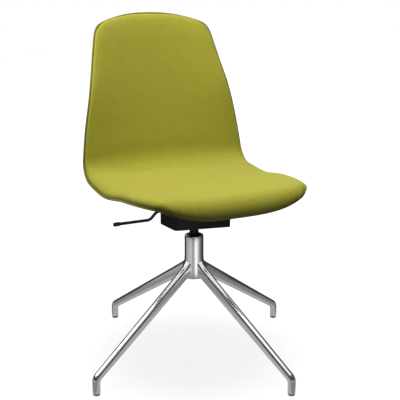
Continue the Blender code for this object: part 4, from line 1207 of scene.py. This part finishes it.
def card(name, near_edge, far_edge, low, high, grey):
    """A strip between two (distance, height) edges and two bearings, with its own grey light."""
    count = round((high - low) / CARD_STEP)
    bearings = np.radians(CAMERA_BEARING + np.linspace(low, high, count + 1))
    corners = [
        (distance * math.cos(bearing), distance * math.sin(bearing), height)
        for bearing in bearings
        for distance, height in (near_edge, far_edge)
    ]
    faces = [(2 * k, 2 * k + 1, 2 * k + 3, 2 * k + 2) for k in range(count)]
    card_finish, _ = finish(
        "grey_card",
        {"Base Color": (0, 0, 0), "Emission Color": (grey, grey, grey), "Emission Strength": 1.0},
    )
    strip = stage_mesh(name, corners, faces, card_finish)
    strip.visible_camera = False
    strip.visible_transmission = False
    return strip


ring_start = -180.0
for ring_stop, grey in RING_GREYS:
    CARDS.append(((RING[0], CARD_LIFT), (RING[1], CARD_LIFT), ring_start, ring_stop, grey))
    ring_start = ring_stop
for i, strip in enumerate(CARDS, 1):
    mirrored = card(f"card_{i}", *strip)
    mirrored.visible_diffuse = False
    mirrored.visible_shadow = False
card("flag", *FLAG).visible_glossy = False

world = bpy.data.worlds.new("studio")
world.use_nodes = True
scene.world = world
light = Shade(world.node_tree.nodes["Background"].outputs[0])
light.feed({"Color": (1, 1, 1), "Strength": AMBIENT})
backdrop = light.node("ShaderNodeBackground", {}, {"Color": (1, 1, 1), "Strength": 1.0})
sky = light.node("ShaderNodeMixShader", {}, {0: seen(light), 1: light, 2: backdrop})
world.node_tree.links.new(sky.socket, world.node_tree.nodes["World Output"].inputs["Surface"])


def soft_box(name, spot, aim, size, watts):
    lamp = bpy.data.lights.new(name, "AREA")
    lamp.shape = "RECTANGLE"
    lamp.size, lamp.size_y = size
    lamp.energy = watts
    holder = bpy.data.objects.new(name, lamp)
    holder.location = spot
    holder.rotation_euler = (Vector(aim) - Vector(spot)).to_track_quat("-Z", "Y").to_euler()
    scene.collection.objects.link(holder)


soft_box("overhead", spot=(-0.1, -0.1, 2.6), aim=(0, 0, 0.5), size=(1.8, 1.8), watts=24.0)
soft_box("left", spot=(-1.5, 0.40, 1.4), aim=(0, 0.1, 0.60), size=(1.0, 1.0), watts=16.0)
soft_box("rim", spot=(-1.3, 1.1, 1.4), aim=(-0.1, 0.2, 0.65), size=(0.9, 0.9), watts=6.0)

lens = bpy.data.cameras.new("camera")
lens.lens = LENS
lens.sensor_width = SENSOR_WIDTH
lens.shift_x = LENS_SHIFT
camera = bpy.data.objects.new("camera", lens)
camera.location = CAMERA_SPOT
camera.rotation_euler = CAMERA_TURNS
scene.collection.objects.link(camera)
scene.camera = camera
